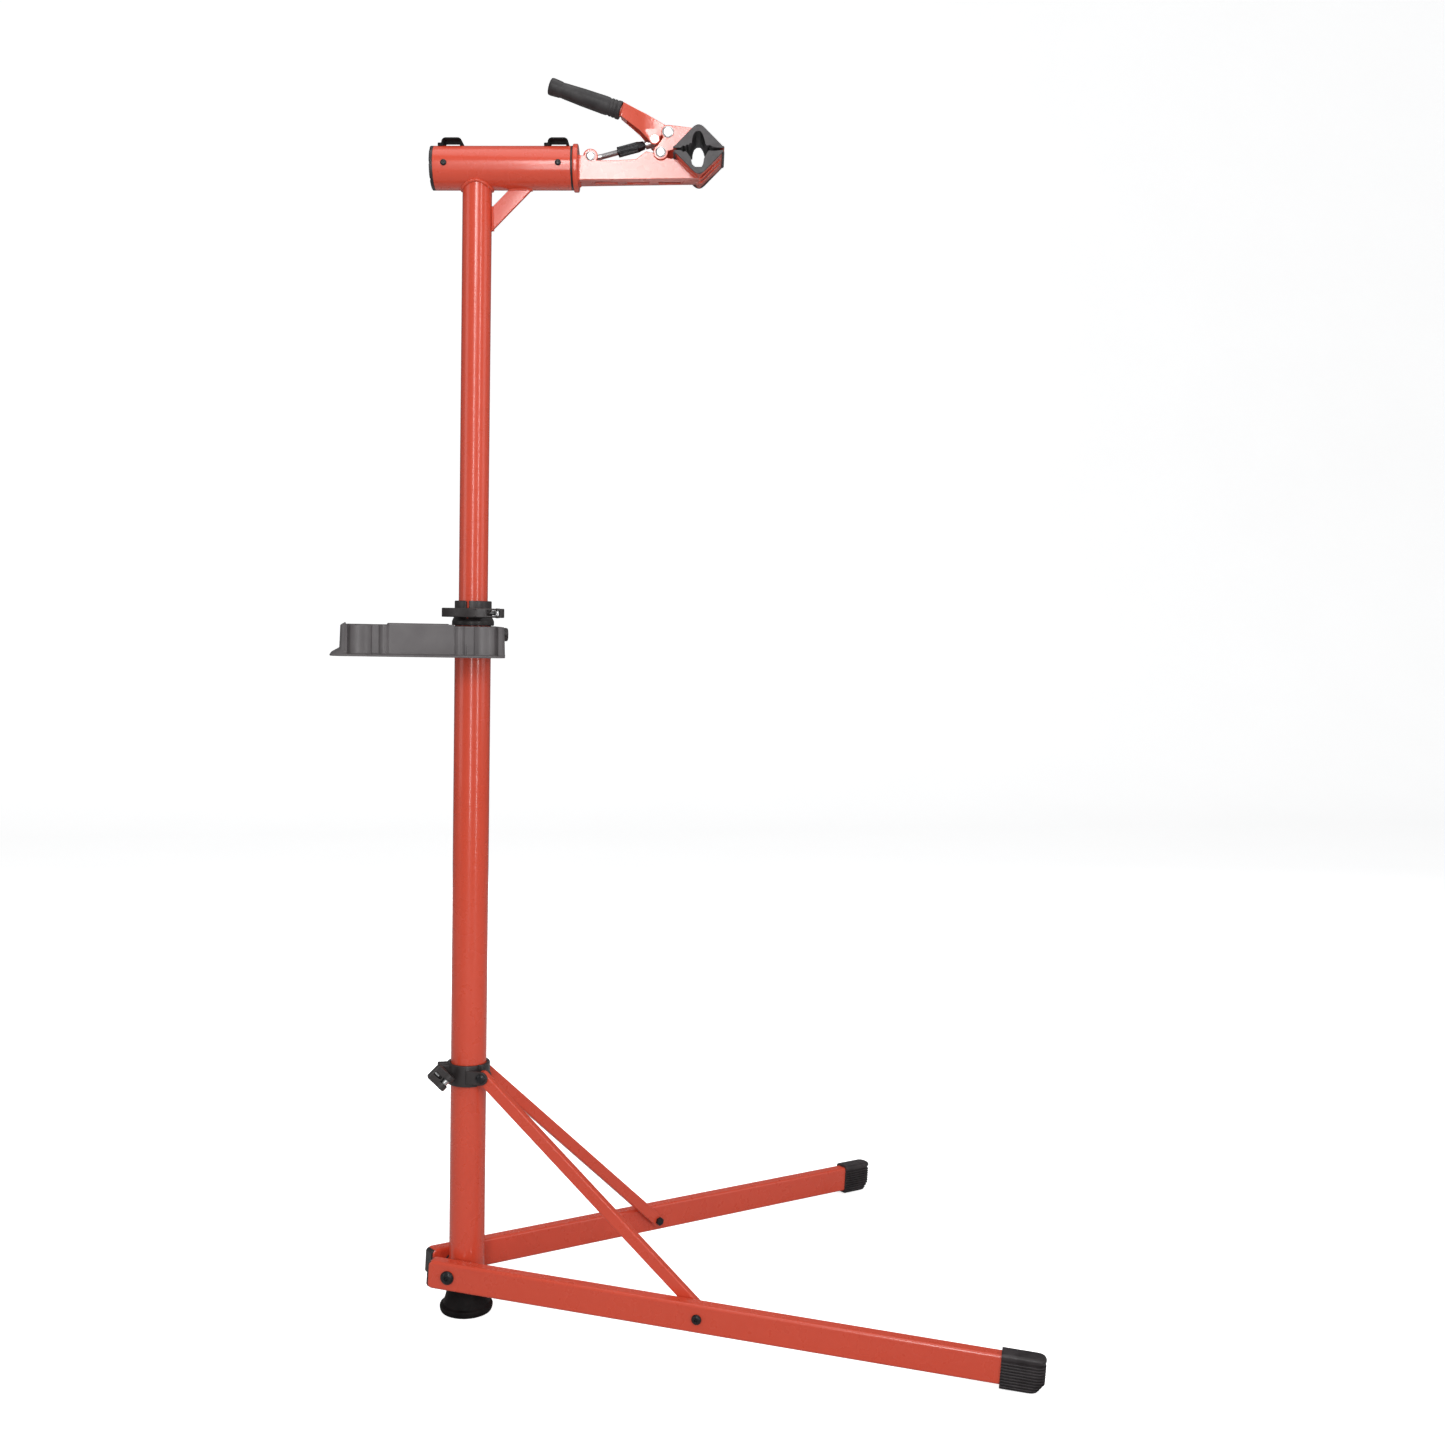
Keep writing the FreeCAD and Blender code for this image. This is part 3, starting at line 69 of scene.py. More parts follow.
def frame_at(origin, x_axis, z_axis):
    """Matrix of a local frame whose own units are millimetres."""
    x_axis = Vector(x_axis).normalized()
    y_axis = Vector(z_axis).cross(x_axis).normalized()
    z_axis = x_axis.cross(y_axis)
    turn = Matrix((x_axis, y_axis, z_axis)).transposed().to_4x4()
    return Matrix.Translation(Vector(origin)) @ turn @ Matrix.Scale(MM, 4)


def turned(axis, degrees):
    """Turn about one of the axes X, Y or Z."""
    return Matrix.Rotation(math.radians(degrees), 4, axis)


def shifted(x, y, z):
    """Shift in the units of the frame that it is applied in."""
    return Matrix.Translation((x, y, z))


def head_frame():
    """Origin where the mast and the head's axis meet, X along the head, Y to its left."""
    turn = joint("clamp_turn")
    left = -Vector(joint("jaw_open")["axis"])
    return frame_at(turn["pos_m"], turn["axis"], Vector(turn["axis"]).cross(left))


def leg_frame(side_name):
    """Origin at the leg's pivot, X along the leg towards its foot, Z square to its top."""
    fold = joint(f"{side_name}_leg_fold")
    level = Vector((0, 0, 1)).cross(Vector(fold["axis"]))
    along = level * math.cos(LEG_SLOPE) - Vector((0, 0, 1)) * math.sin(LEG_SLOPE)
    up = level * math.sin(LEG_SLOPE) + Vector((0, 0, 1)) * math.cos(LEG_SLOPE)
    return frame_at(fold["pos_m"], along, up)


WORLD = Matrix.Scale(MM, 4)
HEAD = head_frame()


# ---------------------------------------------------------------- mesh helpers

def new_object(name, points, faces):
    """Mesh object in the scene, from points in metres."""
    mesh = bpy.data.meshes.new(name)
    mesh.from_pydata([tuple(p) for p in points], [], faces)
    piece = bpy.data.objects.new(name, mesh)
    bpy.context.scene.collection.objects.link(piece)
    return piece


def shade(piece, sharp_degrees=35):
    """Smooth shading that keeps edges sharper than the angle."""
    piece.data.polygons.foreach_set("use_smooth", [True] * len(piece.data.polygons))
    piece.data.set_sharp_from_angle(angle=math.radians(sharp_degrees))
    return piece


def fix_normals(piece):
    """Turn every face outward."""
    work = bmesh.new()
    work.from_mesh(piece.data)
    bmesh.ops.recalc_face_normals(work, faces=work.faces)
    work.to_mesh(piece.data)
    work.free()


def loft(name, rings, place, ends="cap", sharp_degrees=35):
    """Skin through closed rings of points that all have the same count.

    ends is "cap" for a solid with flat ends, or "join" when the last ring meets the first.
    """
    count = len(rings[0])
    points = [place @ Vector(p) for ring in rings for p in ring]
    faces = []
    pairs = list(zip(range(len(rings) - 1), range(1, len(rings))))
    if ends == "join":
        pairs.append((len(rings) - 1, 0))
    for low, high in pairs:
        for k in range(count):
            follower = (k + 1) % count
            faces.append((low * count + k, low * count + follower,
                          high * count + follower, high * count + k))
    if ends == "cap":
        faces.append(tuple(range(count - 1, -1, -1)))
        last = (len(rings) - 1) * count
        faces.append(tuple(range(last, last + count)))
    piece = new_object(name, points, faces)
    fix_normals(piece)
    return shade(piece, sharp_degrees)


def circle(radius, along, count):
    """Ring of points about the Z axis, at a height along it."""
    steps = (FULL_TURN * k / count for k in range(count))
    return [(radius * math.cos(a), radius * math.sin(a), along) for a in steps]


def lathe(name, profile, place, count=72, ends="cap", sharp_degrees=35):
    """Solid of revolution about the Z axis of place, from (radius, along) points."""
    return loft(name, [circle(r, z, count) for r, z in profile], place, ends, sharp_degrees)


def round_edges(piece, width):
    """Bevel every sharp edge, so that it catches the light as a moulded or rolled edge does."""
    least_angle = math.radians(25)
    work = bmesh.new()
    work.from_mesh(piece.data)
    bmesh.ops.remove_doubles(work, verts=work.verts, dist=0.004 * MM)
    sharp = [edge for edge in work.edges
             if len(edge.link_faces) == 2 and edge.calc_face_angle() > least_angle]
    bmesh.ops.bevel(work, geom=sharp, offset=width * MM, offset_type="OFFSET", segments=2,
                    profile=0.5, affect="EDGES", clamp_overlap=False)
    work.to_mesh(piece.data)
    work.free()
    return shade(piece, 40)


def join(pieces):
    """One object from several; the first one's name stays."""
    work = bmesh.new()
    for piece in pieces:
        work.from_mesh(piece.data)
    work.to_mesh(pieces[0].data)
    work.free()
    for piece in pieces[1:]:
        bpy.data.objects.remove(piece)
    return shade(pieces[0])


def rounded_copy(node, width):
    """Copy of a CAD node with its sharp edges rounded over and its stored normals dropped."""
    mesh = bpy.data.meshes.new(f"{node}_rounded")
    work = bmesh.new()
    work.from_mesh(nodes[node].data)
    for layer in list(work.loops.layers.float_vector):
        work.loops.layers.float_vector.remove(layer)
    work.to_mesh(mesh)
    work.free()
    mesh.materials.clear()
    piece = bpy.data.objects.new(f"{node}_rounded", mesh)
    bpy.context.scene.collection.objects.link(piece)
    return round_edges(piece, width)


def body_of(node):
    """Name of the moving body that a CAD node rides on."""
    return next(name for name, members in frame["record"]["behaviour"]["bodies"].items()
                if node in members)


def slot_of(node):
    """Name of the record's material slot of a CAD node."""
    return next(part["material_slot"] for part in frame["record"]["subparts"] if part["node"] == node)


def even_normals(piece):
    """Weight normals by face area, so that flat faces stay flat beside their rounded edges."""
    weighting = piece.modifiers.new("weighting", "WEIGHTED_NORMAL")
    weighting.keep_sharp = True
    weighting.weight = 100
    graph = bpy.context.evaluated_depsgraph_get()
    mesh = bpy.data.meshes.new_from_object(piece.evaluated_get(graph))
    piece.modifiers.clear()
    piece.data = mesh


def add_on(piece, material, body):
    """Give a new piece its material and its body."""
    even_normals(piece)
    piece.data.materials.clear()
    piece.data.materials.append(material)
    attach(piece, body)


def stand_for(piece, material, node):
    """Show a new piece in the place of a CAD node, on the same body, with the material given."""
    add_on(piece, material, body_of(node))
    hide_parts(node)


# ---------------------------------------------------------------- materials

class Shader:
    """Short way to build one node material."""

    def __init__(self, name):
        self.material = bpy.data.materials.new(name)
        self.material.use_nodes = True
        self.tree = self.material.node_tree
        self.tree.nodes.clear()
        self.place = self.add("TexCoord").outputs["Object"]

    def add(self, kind, inputs=None, **settings):
        """New node; an input is a socket to link from or a plain value."""
        node = self.tree.nodes.new(f"ShaderNode{kind}")
        for name, value in settings.items():
            setattr(node, name, value)
        for name, value in (inputs or {}).items():
            socket = node.inputs[name]
            if isinstance(value, bpy.types.NodeSocket):
                self.tree.links.new(value, socket)
            else:
                socket.default_value = value
        return node

    def noise(self, scale, detail=2.0, roughness=0.5):
        """Noise with features about 1/scale metres across."""
        inputs = {"Vector": self.place, "Scale": scale, "Detail": detail, "Roughness": roughness}
        return self.add("TexNoise", inputs).outputs["Fac"]

    def cells(self, scale):
        """Distance to the nearest of many scattered points, about 1/scale metres apart."""
        inputs = {"Vector": self.place, "Scale": scale}
        return self.add("TexVoronoi", inputs).outputs["Distance"]

    def fit(self, value, low, high, to_low=0.0, to_high=1.0):
        """Stretch low..high onto to_low..to_high, clamped."""
        inputs = {"Value": value, "From Min": low, "From Max": high,
                  "To Min": to_low, "To Max": to_high}
        return self.add("MapRange", inputs).outputs["Result"]

    def maths(self, operation, first, second):
        """One sum on two values or sockets."""
        return self.add("Math", {0: first, 1: second}, operation=operation).outputs["Value"]

    def mix(self, factor, first, second):
        """Blend two colours, each a socket or red, green and blue."""
        node = self.add("Mix", {"Factor": factor}, data_type="RGBA")
        for socket, value in ((node.inputs[6], first), (node.inputs[7], second)):
            if isinstance(value, bpy.types.NodeSocket):
                self.tree.links.new(value, socket)
            else:
                socket.default_value = (*value, 1.0)
        return node.outputs[2]

    def edge_mask(self, radius):
        """1 on edges and corners sharper than radius, 0 on open faces."""
        rounded = self.add("Bevel", {"Radius": radius}, samples=4).outputs["Normal"]
        flat = self.add("NewGeometry").outputs["Normal"]
        dot = self.add("VectorMath", {0: rounded, 1: flat}, operation="DOT_PRODUCT").outputs["Value"]
        return self.fit(dot, 0.98, 0.80)

    def bump(self, height, strength, distance, normal):
        """The normal, tilted by the slope of a height."""
        inputs = {"Height": height, "Strength": strength, "Distance": distance, "Normal": normal}
        return self.add("Bump", inputs).outputs["Normal"]

    def soft_normal(self, radius):
        """Surface normal with its edges eased to a radius."""
        return self.add("Bevel", {"Radius": radius}, samples=4).outputs["Normal"]

    def finish(self, **inputs):
        """Close the tree with a Principled surface; base_color sets Base Color, and so on."""
        named = {name.replace("_", " ").title().replace("Ior", "IOR"): value
                 for name, value in inputs.items()}
        surface = self.add("BsdfPrincipled")
        for name, value in named.items():
            socket = surface.inputs[name]
            if isinstance(value, bpy.types.NodeSocket):
                self.tree.links.new(value, socket)
            elif isinstance(value, tuple) and len(value) == 3 and socket.type == "RGBA":
                socket.default_value = (*value, 1.0)
            else:
                socket.default_value = value
        self.add("OutputMaterial", {"Surface": surface.outputs["BSDF"]})
        return self.material


def orange_paint(name, peel, coat, painted_sheen):
    """Gloss powder coat: slow drift of shade, orange peel, pale specks that also carry a painted pale sheen, thin
    paint at the edges.

    peel is how rough the skin is, coat how strong the gloss, and the third setting how pale the specks make the
    paint; set high, it paints a pale pink sheen.
    """
    s = Shader(name)
    drift = s.fit(s.noise(7.0, 3.0), 0.3, 0.7)
    colour = s.mix(drift, (0.63, 0.065, 0.030), (0.655, 0.071, 0.033))
    # Pale pink specks; with a large third setting they pale the whole paint, a painted sheen.
    flecks_and_sheen = s.fit(s.noise(1500.0, 1.0), 0.62, 0.75, painted_sheen * 0.5, 0.12 + painted_sheen)
    colour = s.mix(flecks_and_sheen, colour, (0.80, 0.24, 0.18))
    thin = s.maths("MULTIPLY", s.edge_mask(0.7 * MM), s.fit(s.noise(90.0, 4.0), 0.35, 0.65, 0.1, 0.55))
    colour = s.mix(thin, colour, (0.80, 0.20, 0.12))
    rough = s.fit(s.noise(45.0, 4.0), 0.3, 0.7, 0.26, 0.30)
    coarse_peel = s.bump(s.noise(420.0, 2.0), peel, 0.4 * MM, s.soft_normal(0.5 * MM))
    fine_peel = s.bump(s.noise(1700.0, 2.0), peel * 0.6, 0.15 * MM, coarse_peel)
    return s.finish(base_color=colour, roughness=rough, normal=fine_peel, coat_weight=coat,
                    coat_roughness=0.09, coat_normal=coarse_peel, specular_ior_level=0.4)


def moulded_plastic(name, dark, light, rough_low, rough_high, grain):
    """Black moulded plastic with a fine spark-eroded grain and paler rubbed edges."""
    s = Shader(name)
    colour = s.mix(s.fit(s.noise(30.0, 4.0), 0.3, 0.7), dark, light)
    rubbed = s.maths("MULTIPLY", s.edge_mask(0.8 * MM), s.fit(s.noise(160.0, 4.0), 0.4, 0.7, 0.15, 0.7))
    colour = s.mix(rubbed, colour, tuple(2.4 * c for c in light))
    rough = s.fit(s.noise(220.0, 3.0), 0.3, 0.7, rough_low, rough_high)
    pits = s.bump(s.noise(2600.0, 2.0), grain, 0.12 * MM, s.soft_normal(0.6 * MM))
    waves = s.bump(s.noise(60.0, 2.0), 0.06, 1.0 * MM, pits)
    return s.finish(base_color=colour, roughness=rough, normal=waves, specular_ior_level=0.5)


def black_rubber(name, dark, light, least_rough=0.42, shine=0.35):
    """Matt rubber with a pebbled skin and pale dust in its hollows."""
    s = Shader(name)
    colour = s.mix(s.fit(s.noise(55.0, 5.0), 0.35, 0.7), dark, light)
    dust = s.fit(s.noise(14.0, 6.0, 0.65), 0.55, 0.85, 0.0, 0.2)
    colour = s.mix(dust, colour, tuple(3.2 * c for c in light))
    rough = s.fit(s.noise(300.0, 2.0), 0.3, 0.7, least_rough, least_rough + 0.18)
    skin = s.bump(s.cells(1100.0), 0.25, 0.2 * MM, s.soft_normal(0.7 * MM))
    return s.finish(base_color=colour, roughness=rough, normal=skin, specular_ior_level=shine)


def zinc_plate():
    """Zinc-plated steel: cloudy plating with fine scratches."""
    tint = (0.62, 0.62, 0.62)
    s = Shader("zinc_plate")
    cloud = s.fit(s.noise(120.0, 5.0, 0.6), 0.3, 0.7)
    colour = s.mix(cloud, tuple(0.82 * c for c in tint), tint)
    stretched = s.add("Mapping", {"Vector": s.place, "Scale": (1.0, 14.0, 1.0)}).outputs["Vector"]
    scratch = s.add("TexNoise", {"Vector": stretched, "Scale": 900.0, "Detail": 3.0}).outputs["Fac"]
    rough = s.fit(scratch, 0.35, 0.65, 0.25, 0.42)
    scored = s.bump(scratch, 0.10, 0.05 * MM, s.soft_normal(0.3 * MM))
    return s.finish(base_color=colour, metallic=1.0, roughness=rough, normal=scored)


def black_steel():
    """Oiled black-oxide fastener with bright rubbed edges."""
    s = Shader("black_steel")
    rubbed = s.maths("MULTIPLY", s.edge_mask(0.35 * MM), s.fit(s.noise(500.0, 3.0), 0.3, 0.7, 0.2, 0.8))
    colour = s.mix(rubbed, (0.018, 0.018, 0.02), (0.16, 0.16, 0.17))
    rough = s.fit(s.noise(700.0, 3.0), 0.3, 0.7, 0.24, 0.40)
    skin = s.bump(s.noise(1800.0, 2.0), 0.08, 0.08 * MM, s.soft_normal(0.35 * MM))
    return s.finish(base_color=colour, metallic=0.55, roughness=rough, normal=skin,
                    specular_ior_level=0.6)


ORANGE = orange_paint("orange_paint", peel=0.02, coat=0.4, painted_sheen=0.0)
# The pressed plates get a painted pale pink sheen through their pale specks.
ORANGE_PRESSED = orange_paint("orange_pressed", peel=0.30, coat=0.8, painted_sheen=0.26)
PLASTIC = moulded_plastic("black_plastic", (0.022, 0.018, 0.018), (0.036, 0.030, 0.030),
                          rough_low=0.34, rough_high=0.48, grain=0.20)
TRAY_PLASTIC = moulded_plastic("tray_plastic", (0.088, 0.080, 0.082), (0.118, 0.108, 0.110),
                               rough_low=0.34, rough_high=0.46, grain=0.16)
NYLON = moulded_plastic("black_nylon", (0.014, 0.013, 0.014), (0.024, 0.022, 0.023),
                        rough_low=0.32, rough_high=0.44, grain=0.12)
RUBBER = black_rubber("black_rubber", (0.006, 0.005, 0.005), (0.013, 0.011, 0.011), shine=0.08)
CAP_RUBBER = black_rubber("cap_rubber", (0.022, 0.018, 0.019), (0.044, 0.037, 0.039), least_rough=0.30)
GRIP_RUBBER = black_rubber("grip_rubber", (0.024, 0.022, 0.023), (0.040, 0.037, 0.038))
PAD_RUBBER = black_rubber("pad_rubber", (0.062, 0.057, 0.059), (0.092, 0.086, 0.088))
ZINC = zinc_plate()
BLACK_STEEL = black_steel()

SLOT_MATERIALS = {
    "orange_paint": ORANGE, "black_plastic": PLASTIC, "nylon": NYLON, "black_rubber": RUBBER,
    "grey_rubber": PAD_RUBBER, "zinc": ZINC, "black_steel": BLACK_STEEL,
}
PRESSED_NODES = ("clamp_body", "upper_jaw", "clamp_handle")


def material_of(node):
    """Material of a CAD node: its slot's one, or the rougher paint, with a painted pale pink sheen, of the clamp's
    pressed plates.
    """
    return ORANGE_PRESSED if node in PRESSED_NODES else SLOT_MATERIALS[slot_of(node)]


def finish_cad_nodes():
    """Give every CAD node its material."""
    for node, piece in nodes.items():
        piece.data.materials.clear()
        piece.data.materials.append(material_of(node))


# ---------------------------------------------------------------- more mesh helpers

def inset(outline, amount):
    """Outline moved inward by amount, with mitred corners; it must run anticlockwise."""
    moved = []
    count = len(outline)
    for k in range(count):
        before, here, after = (Vector(outline[j % count]) for j in (k - 1, k, k + 1))
        first = (here - before).normalized()
        second = (after - here).normalized()
        normal = Vector((-first.y, first.x)) + Vector((-second.y, second.x))
        normal.normalize()
        stretch = max(0.5, normal.dot(Vector((-first.y, first.x))))
        moved.append(tuple(here + normal * amount / stretch))
    return moved


def anticlockwise(outline):
    """The outline, reversed if it runs clockwise."""
    pairs = zip(outline, outline[1:] + outline[:1])
    area = sum(a[0] * b[1] - b[0] * a[1] for a, b in pairs)
    return outline if area > 0 else outline[::-1]


def slab(name, outline, low, high, place, edge):
    """Outline in the XZ plane, thick from y=low to y=high, with its rims rounded by edge."""
    outline = anticlockwise(outline)
    steps = [(0.0, 1.0), (0.29, 0.29), (1.0, 0.0)]
    rings = [(low + edge * a, edge * b) for a, b in steps]
    rings += [(high - edge * a, edge * b) for a, b in reversed(steps)]
    points = [[(x, y, z) for x, z in inset(outline, amount)] for y, amount in rings]
    return loft(name, points, place, sharp_degrees=50)


def rounded_outline(corners, radius, steps):
    """Polygon with each corner cut back to an arc-like run of points.

    Corners are (x, y) or (x, y, radius); the reach of an arc is kept under half of each edge.
    """
    result = []
    count = len(corners)
    for k in range(count):
        here = Vector(corners[k][:2])
        size = corners[k][2] if len(corners[k]) > 2 else radius
        before = Vector(corners[k - 1][:2]) - here
        after = Vector(corners[(k + 1) % count][:2]) - here
        reach = min(size, 0.48 * before.length, 0.48 * after.length)
        start = here + before.normalized() * reach
        end = here + after.normalized() * reach
        for step in range(steps + 1):
            t = step / steps
            point = start * (1 - t) ** 2 + here * 2 * t * (1 - t) + end * t ** 2
            result.append((point.x, point.y))
    return result


def bead(name, path, radius, place, closed=False, ripple=0.2, pitch=2.2):
    """Weld bead: a tube along a path of points whose thickness ripples."""
    sides = 8
    off_path = Vector((0.31, 0.22, 0.93))
    rings = []
    count = len(path)
    travelled = 0.0
    for k in range(count):
        here = Vector(path[k])
        before = Vector(path[k - 1]) if closed or k else here
        after = Vector(path[(k + 1) % count]) if closed or k < count - 1 else here
        along = (after - before).normalized()
        side = along.cross(off_path).normalized()
        lift = along.cross(side)
        travelled += (here - before).length
        size = radius * (1 + ripple * math.sin(FULL_TURN * travelled / pitch))
        turns = (FULL_TURN * j / sides for j in range(sides))
        rings.append([here + side * size * math.cos(a) + lift * size * math.sin(a) for a in turns])
    return loft(name, rings, place, "join" if closed else "cap", 60)


def spread(points, spacing):
    """Points every spacing along an open chain of corners."""
    result = []
    for first, second in zip(points, points[1:]):
        first, second = Vector(first), Vector(second)
        steps = max(1, round((second - first).length / spacing))
        result += [first.lerp(second, step / steps) for step in range(steps)]
    result.append(Vector(points[-1]))
    return result


# ---------------------------------------------------------------- base: boot, leg ends

def build_boot():
    """Flared rubber foot with a rolled rim and a ledge above it."""
    profile = [
        (34.0, 0.0), (35.6, 0.8), (36.8, 3.0), (37.5, 5.5), (37.6, 8.2), (36.9, 9.8), (35.0, 10.8),
        (33.4, 11.4), (32.5, 12.6), (31.6, 16.0), (30.2, 20.0), (28.9, 25.0), (28.0, 30.0),
        (27.5, 38.0), (27.4, 43.2), (26.8, 44.0), (25.1, 44.1),
    ]
    boot = lathe("boot", profile, WORLD, 96)
    stand_for(boot, RUBBER, "post_boot")


def cap_plan(front, half, shrink):
    """Plan of a leg cap: square at the rear, rounded nose, shrunk on every side but the rear."""
    rear = 766.0
    nose_reach = 1.25 * (10.0 - 0.5 * shrink)
    corners = [
        (rear, -half + shrink, 1.5), (front - shrink, -half + shrink, nose_reach),
        (front - shrink, half - shrink, nose_reach), (rear, half - shrink, 1.5),
    ]
    return rounded_outline(corners, 1.0, 8)


def cap_levels(bottom, top):
    """Heights of a leg cap's rings, each with how far its plan shrinks there."""
    first_rib, rib_pitch, rib_count, groove = 3.7, 3.9, 9, 2.8
    shoulder = 5.0
    levels = [(bottom, 2.0), (bottom + 0.5, 1.0), (bottom + 1.2, 0.35)]
    for rib in range(rib_count):
        centre = bottom + first_rib + rib_pitch * rib
        levels += [(centre - 1.1, groove), (centre - 0.95, 0.8), (centre - 0.6, 0.2), (centre, 0.0),
                   (centre + 0.5, 0.2), (centre + 0.85, 0.8), (centre + 1.0, groove)]
    for angle in (0, 18, 36, 54, 72, 90):
        turn = math.radians(angle)
        levels.append((top - shoulder * (1 - math.sin(turn)), shoulder * (1 - math.cos(turn))))
    return levels


def build_leg_cap(side_name):
    """Rubber end cap with stacked ribs around its nose, a smooth rounded top and a cut-back toe."""
    front, half, bottom, top = 824.0, 13.4, -23.4, 23.4
    toe_level, toe_run = -11.5, 9.0
    rings = []
    for level, shrink in cap_levels(bottom, top):
        set_back = toe_run * max(0.0, toe_level - level) / (toe_level - bottom)
        plan = cap_plan(front - set_back, half, shrink)
        rings.append([(x, y, level) for x, y in plan])
    cap = loft(f"leg_cap_{side_name}", rings, leg_frame(side_name), sharp_degrees=50)
    stand_for(cap, CAP_RUBBER, f"leg_foot_{side_name}")


def build_leg(side_name):
    """Leg tube whose end stops short of the cap's rounded nose."""
    tube_end, pulled_back = 790, 18
    leg = rounded_copy(f"leg_{side_name}", 0.4)
    to_leg = leg_frame(side_name).inverted() @ leg.matrix_world
    from_leg = to_leg.inverted()
    for vert in leg.data.vertices:
        local = to_leg @ vert.co
        if local.x > tube_end:
            local.x -= pulled_back
            vert.co = from_leg @ local
    stand_for(leg, ORANGE, f"leg_{side_name}")


# ---------------------------------------------------------------- tray

TRAY_LEFT, TRAY_RIGHT, TRAY_HALF, TRAY_HEIGHT = -180.0, 39.0, 77.0, 44.0
TRAY_CORNER = 12.0
PANEL_RECESS, DEEPEST_RECESS = 3.6, 6.0
TRAY = WORLD @ shifted(0, 0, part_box("tool_tray")[0].z / MM)
TRAY_SCREW = TRAY @ shifted(0, 0, 31) @ turned("Y", 90)


def tray_recess(distance):
    """How far a long wall stands back at a distance from the tray's left end."""
    pillar = 11
    bulges = ((12, 42, 6.0), (177, 206, 6.0), (52, 64, 4.6), (151, 164, 4.6))
    end = TRAY_RIGHT - TRAY_LEFT
    if distance < pillar or distance > end - pillar:
        return 0.0
    for start, stop, swell in bulges:
        if start <= distance <= stop:
            share = (distance - start) / (stop - start)
            return DEEPEST_RECESS - swell * math.sin(math.pi * share) ** 0.45
    return PANEL_RECESS if 64 < distance < 151 else DEEPEST_RECESS


def end_recess(distance):
    """The same for the left wall: a shallow panel between two pillars."""
    pillar = 20
    return PANEL_RECESS if pillar <= distance <= 2 * TRAY_HALF - pillar else 0.0


def tray_plan():
    """Points of the tray's outer plan: place, outward normal, recess, and share of the rim's dip.

    The rim is lowered everywhere but along the panels.
    """
    corner = TRAY_CORNER
    length = TRAY_RIGHT - TRAY_LEFT
    width = 2 * TRAY_HALF
    side_steps, corner_steps = 140, 8
    plan = []

    def side(start, along, outward, span, recess):
        for step in range(side_steps + 1):
            distance = corner + (span - 2 * corner) * step / side_steps
            place = Vector(start) + Vector(along) * distance
            depth = recess(distance)
            plan.append((place, Vector(outward), depth, 0.0 if depth == PANEL_RECESS else 1.0))

    def turn(centre, from_degrees):
        for step in range(1, corner_steps):
            angle = math.radians(from_degrees + 90 * step / corner_steps)
            outward = Vector((math.cos(angle), math.sin(angle)))
            plan.append((Vector(centre) + outward * corner, outward, 0.0, 1.0))

    side((TRAY_LEFT, -TRAY_HALF), (1, 0), (0, -1), length, tray_recess)
    turn((TRAY_RIGHT - corner, -TRAY_HALF + corner), 270)
    side((TRAY_RIGHT, -TRAY_HALF), (0, 1), (1, 0), width, lambda d: 0.0)
    turn((TRAY_RIGHT - corner, TRAY_HALF - corner), 0)
    side((TRAY_RIGHT, TRAY_HALF), (-1, 0), (0, 1), length, lambda d: tray_recess(length - d))
    turn((TRAY_LEFT + corner, TRAY_HALF - corner), 90)
    side((TRAY_LEFT, TRAY_HALF), (0, -1), (-1, 0), width, end_recess)
    turn((TRAY_LEFT + corner, -TRAY_HALF + corner), 180)
    return plan


def tray_ring(plan, level, inward, share, flare=0.0, slope=0.0):
    """One closed ring of the wall at a level, moved inward from the plan.

    share is how much of the recesses it follows, flare how much of the skirt, and slope is how far
    it rises at the left end. Above dip_start the ring sinks with the rim.
    """
    left_flare, side_flare = 12.5, 6.0
    rim_dip, dip_start = 2.2, 24.0
    ring = []
    for place, outward, recess, lowered in plan:
        left = max(0.0, -outward.x)
        spread_out = flare * (left_flare * left ** 2 + side_flare * outward.y ** 2)
        point = place + outward * (spread_out - inward - share * recess)
        dip = rim_dip * lowered * max(0.0, level - dip_start) / (TRAY_HEIGHT - dip_start)
        ring.append((point.x, point.y, level + slope * left - dip))
    return ring


def tray_wall(plan):
    """Outer face from the skirt up to the rim, then the inner face down again, as one ring loft."""
    top = TRAY_HEIGHT
    skirt = [(0.0, 0.5, 0.0, 0.97), (0.7, 0.0, 0.0, 1.0), (2.2, 0.0, 0.0, 1.0), (2.9, 0.6, 0.0, 0.97),
             (3.4, -0.6, 1.0, 0.12, 5.0), (4.6, 0.0, 1.0, 0.0, 6.0)]
    outside = [(24.0, 0.6, 1.0), (top - 1.4, 1.2, 1.0)]
    rim = [(top - 0.4, 1.6, 1.0), (top, 2.2, 1.0), (top, 3.0, 1.0), (top - 0.6, 3.6, 1.0)]
    inside = [(24.0, 3.2, 1.0), (4.0, 3.0, 1.0), (2.5, 4.2, 1.0), (0.0, 4.2, 1.0)]
    rings = [tray_ring(plan, *sizes) for sizes in skirt + outside + rim + inside]
    return loft("tray", rings, TRAY, "join", 42)


def tray_floor(plan):
    """Floor sheet with a round bore for the post's sleeve."""
    bore_radius, low, high = 28.0, 0.3, 2.4
    edge = [point[:2] for point in tray_ring(plan, 0.0, 2.0, 0.0)]
    start = math.atan2(edge[0][1], edge[0][0])
    turns = [start + FULL_TURN * k / len(edge) for k in range(len(edge))]
    bore = [(bore_radius * math.cos(turn), bore_radius * math.sin(turn)) for turn in turns]
    sheet = [[(x, y, level) for x, y in outline]
             for outline, level in ((bore, low), (edge, low), (edge, high), (bore, high))]
    return loft("tray_floor", sheet, TRAY, "join")


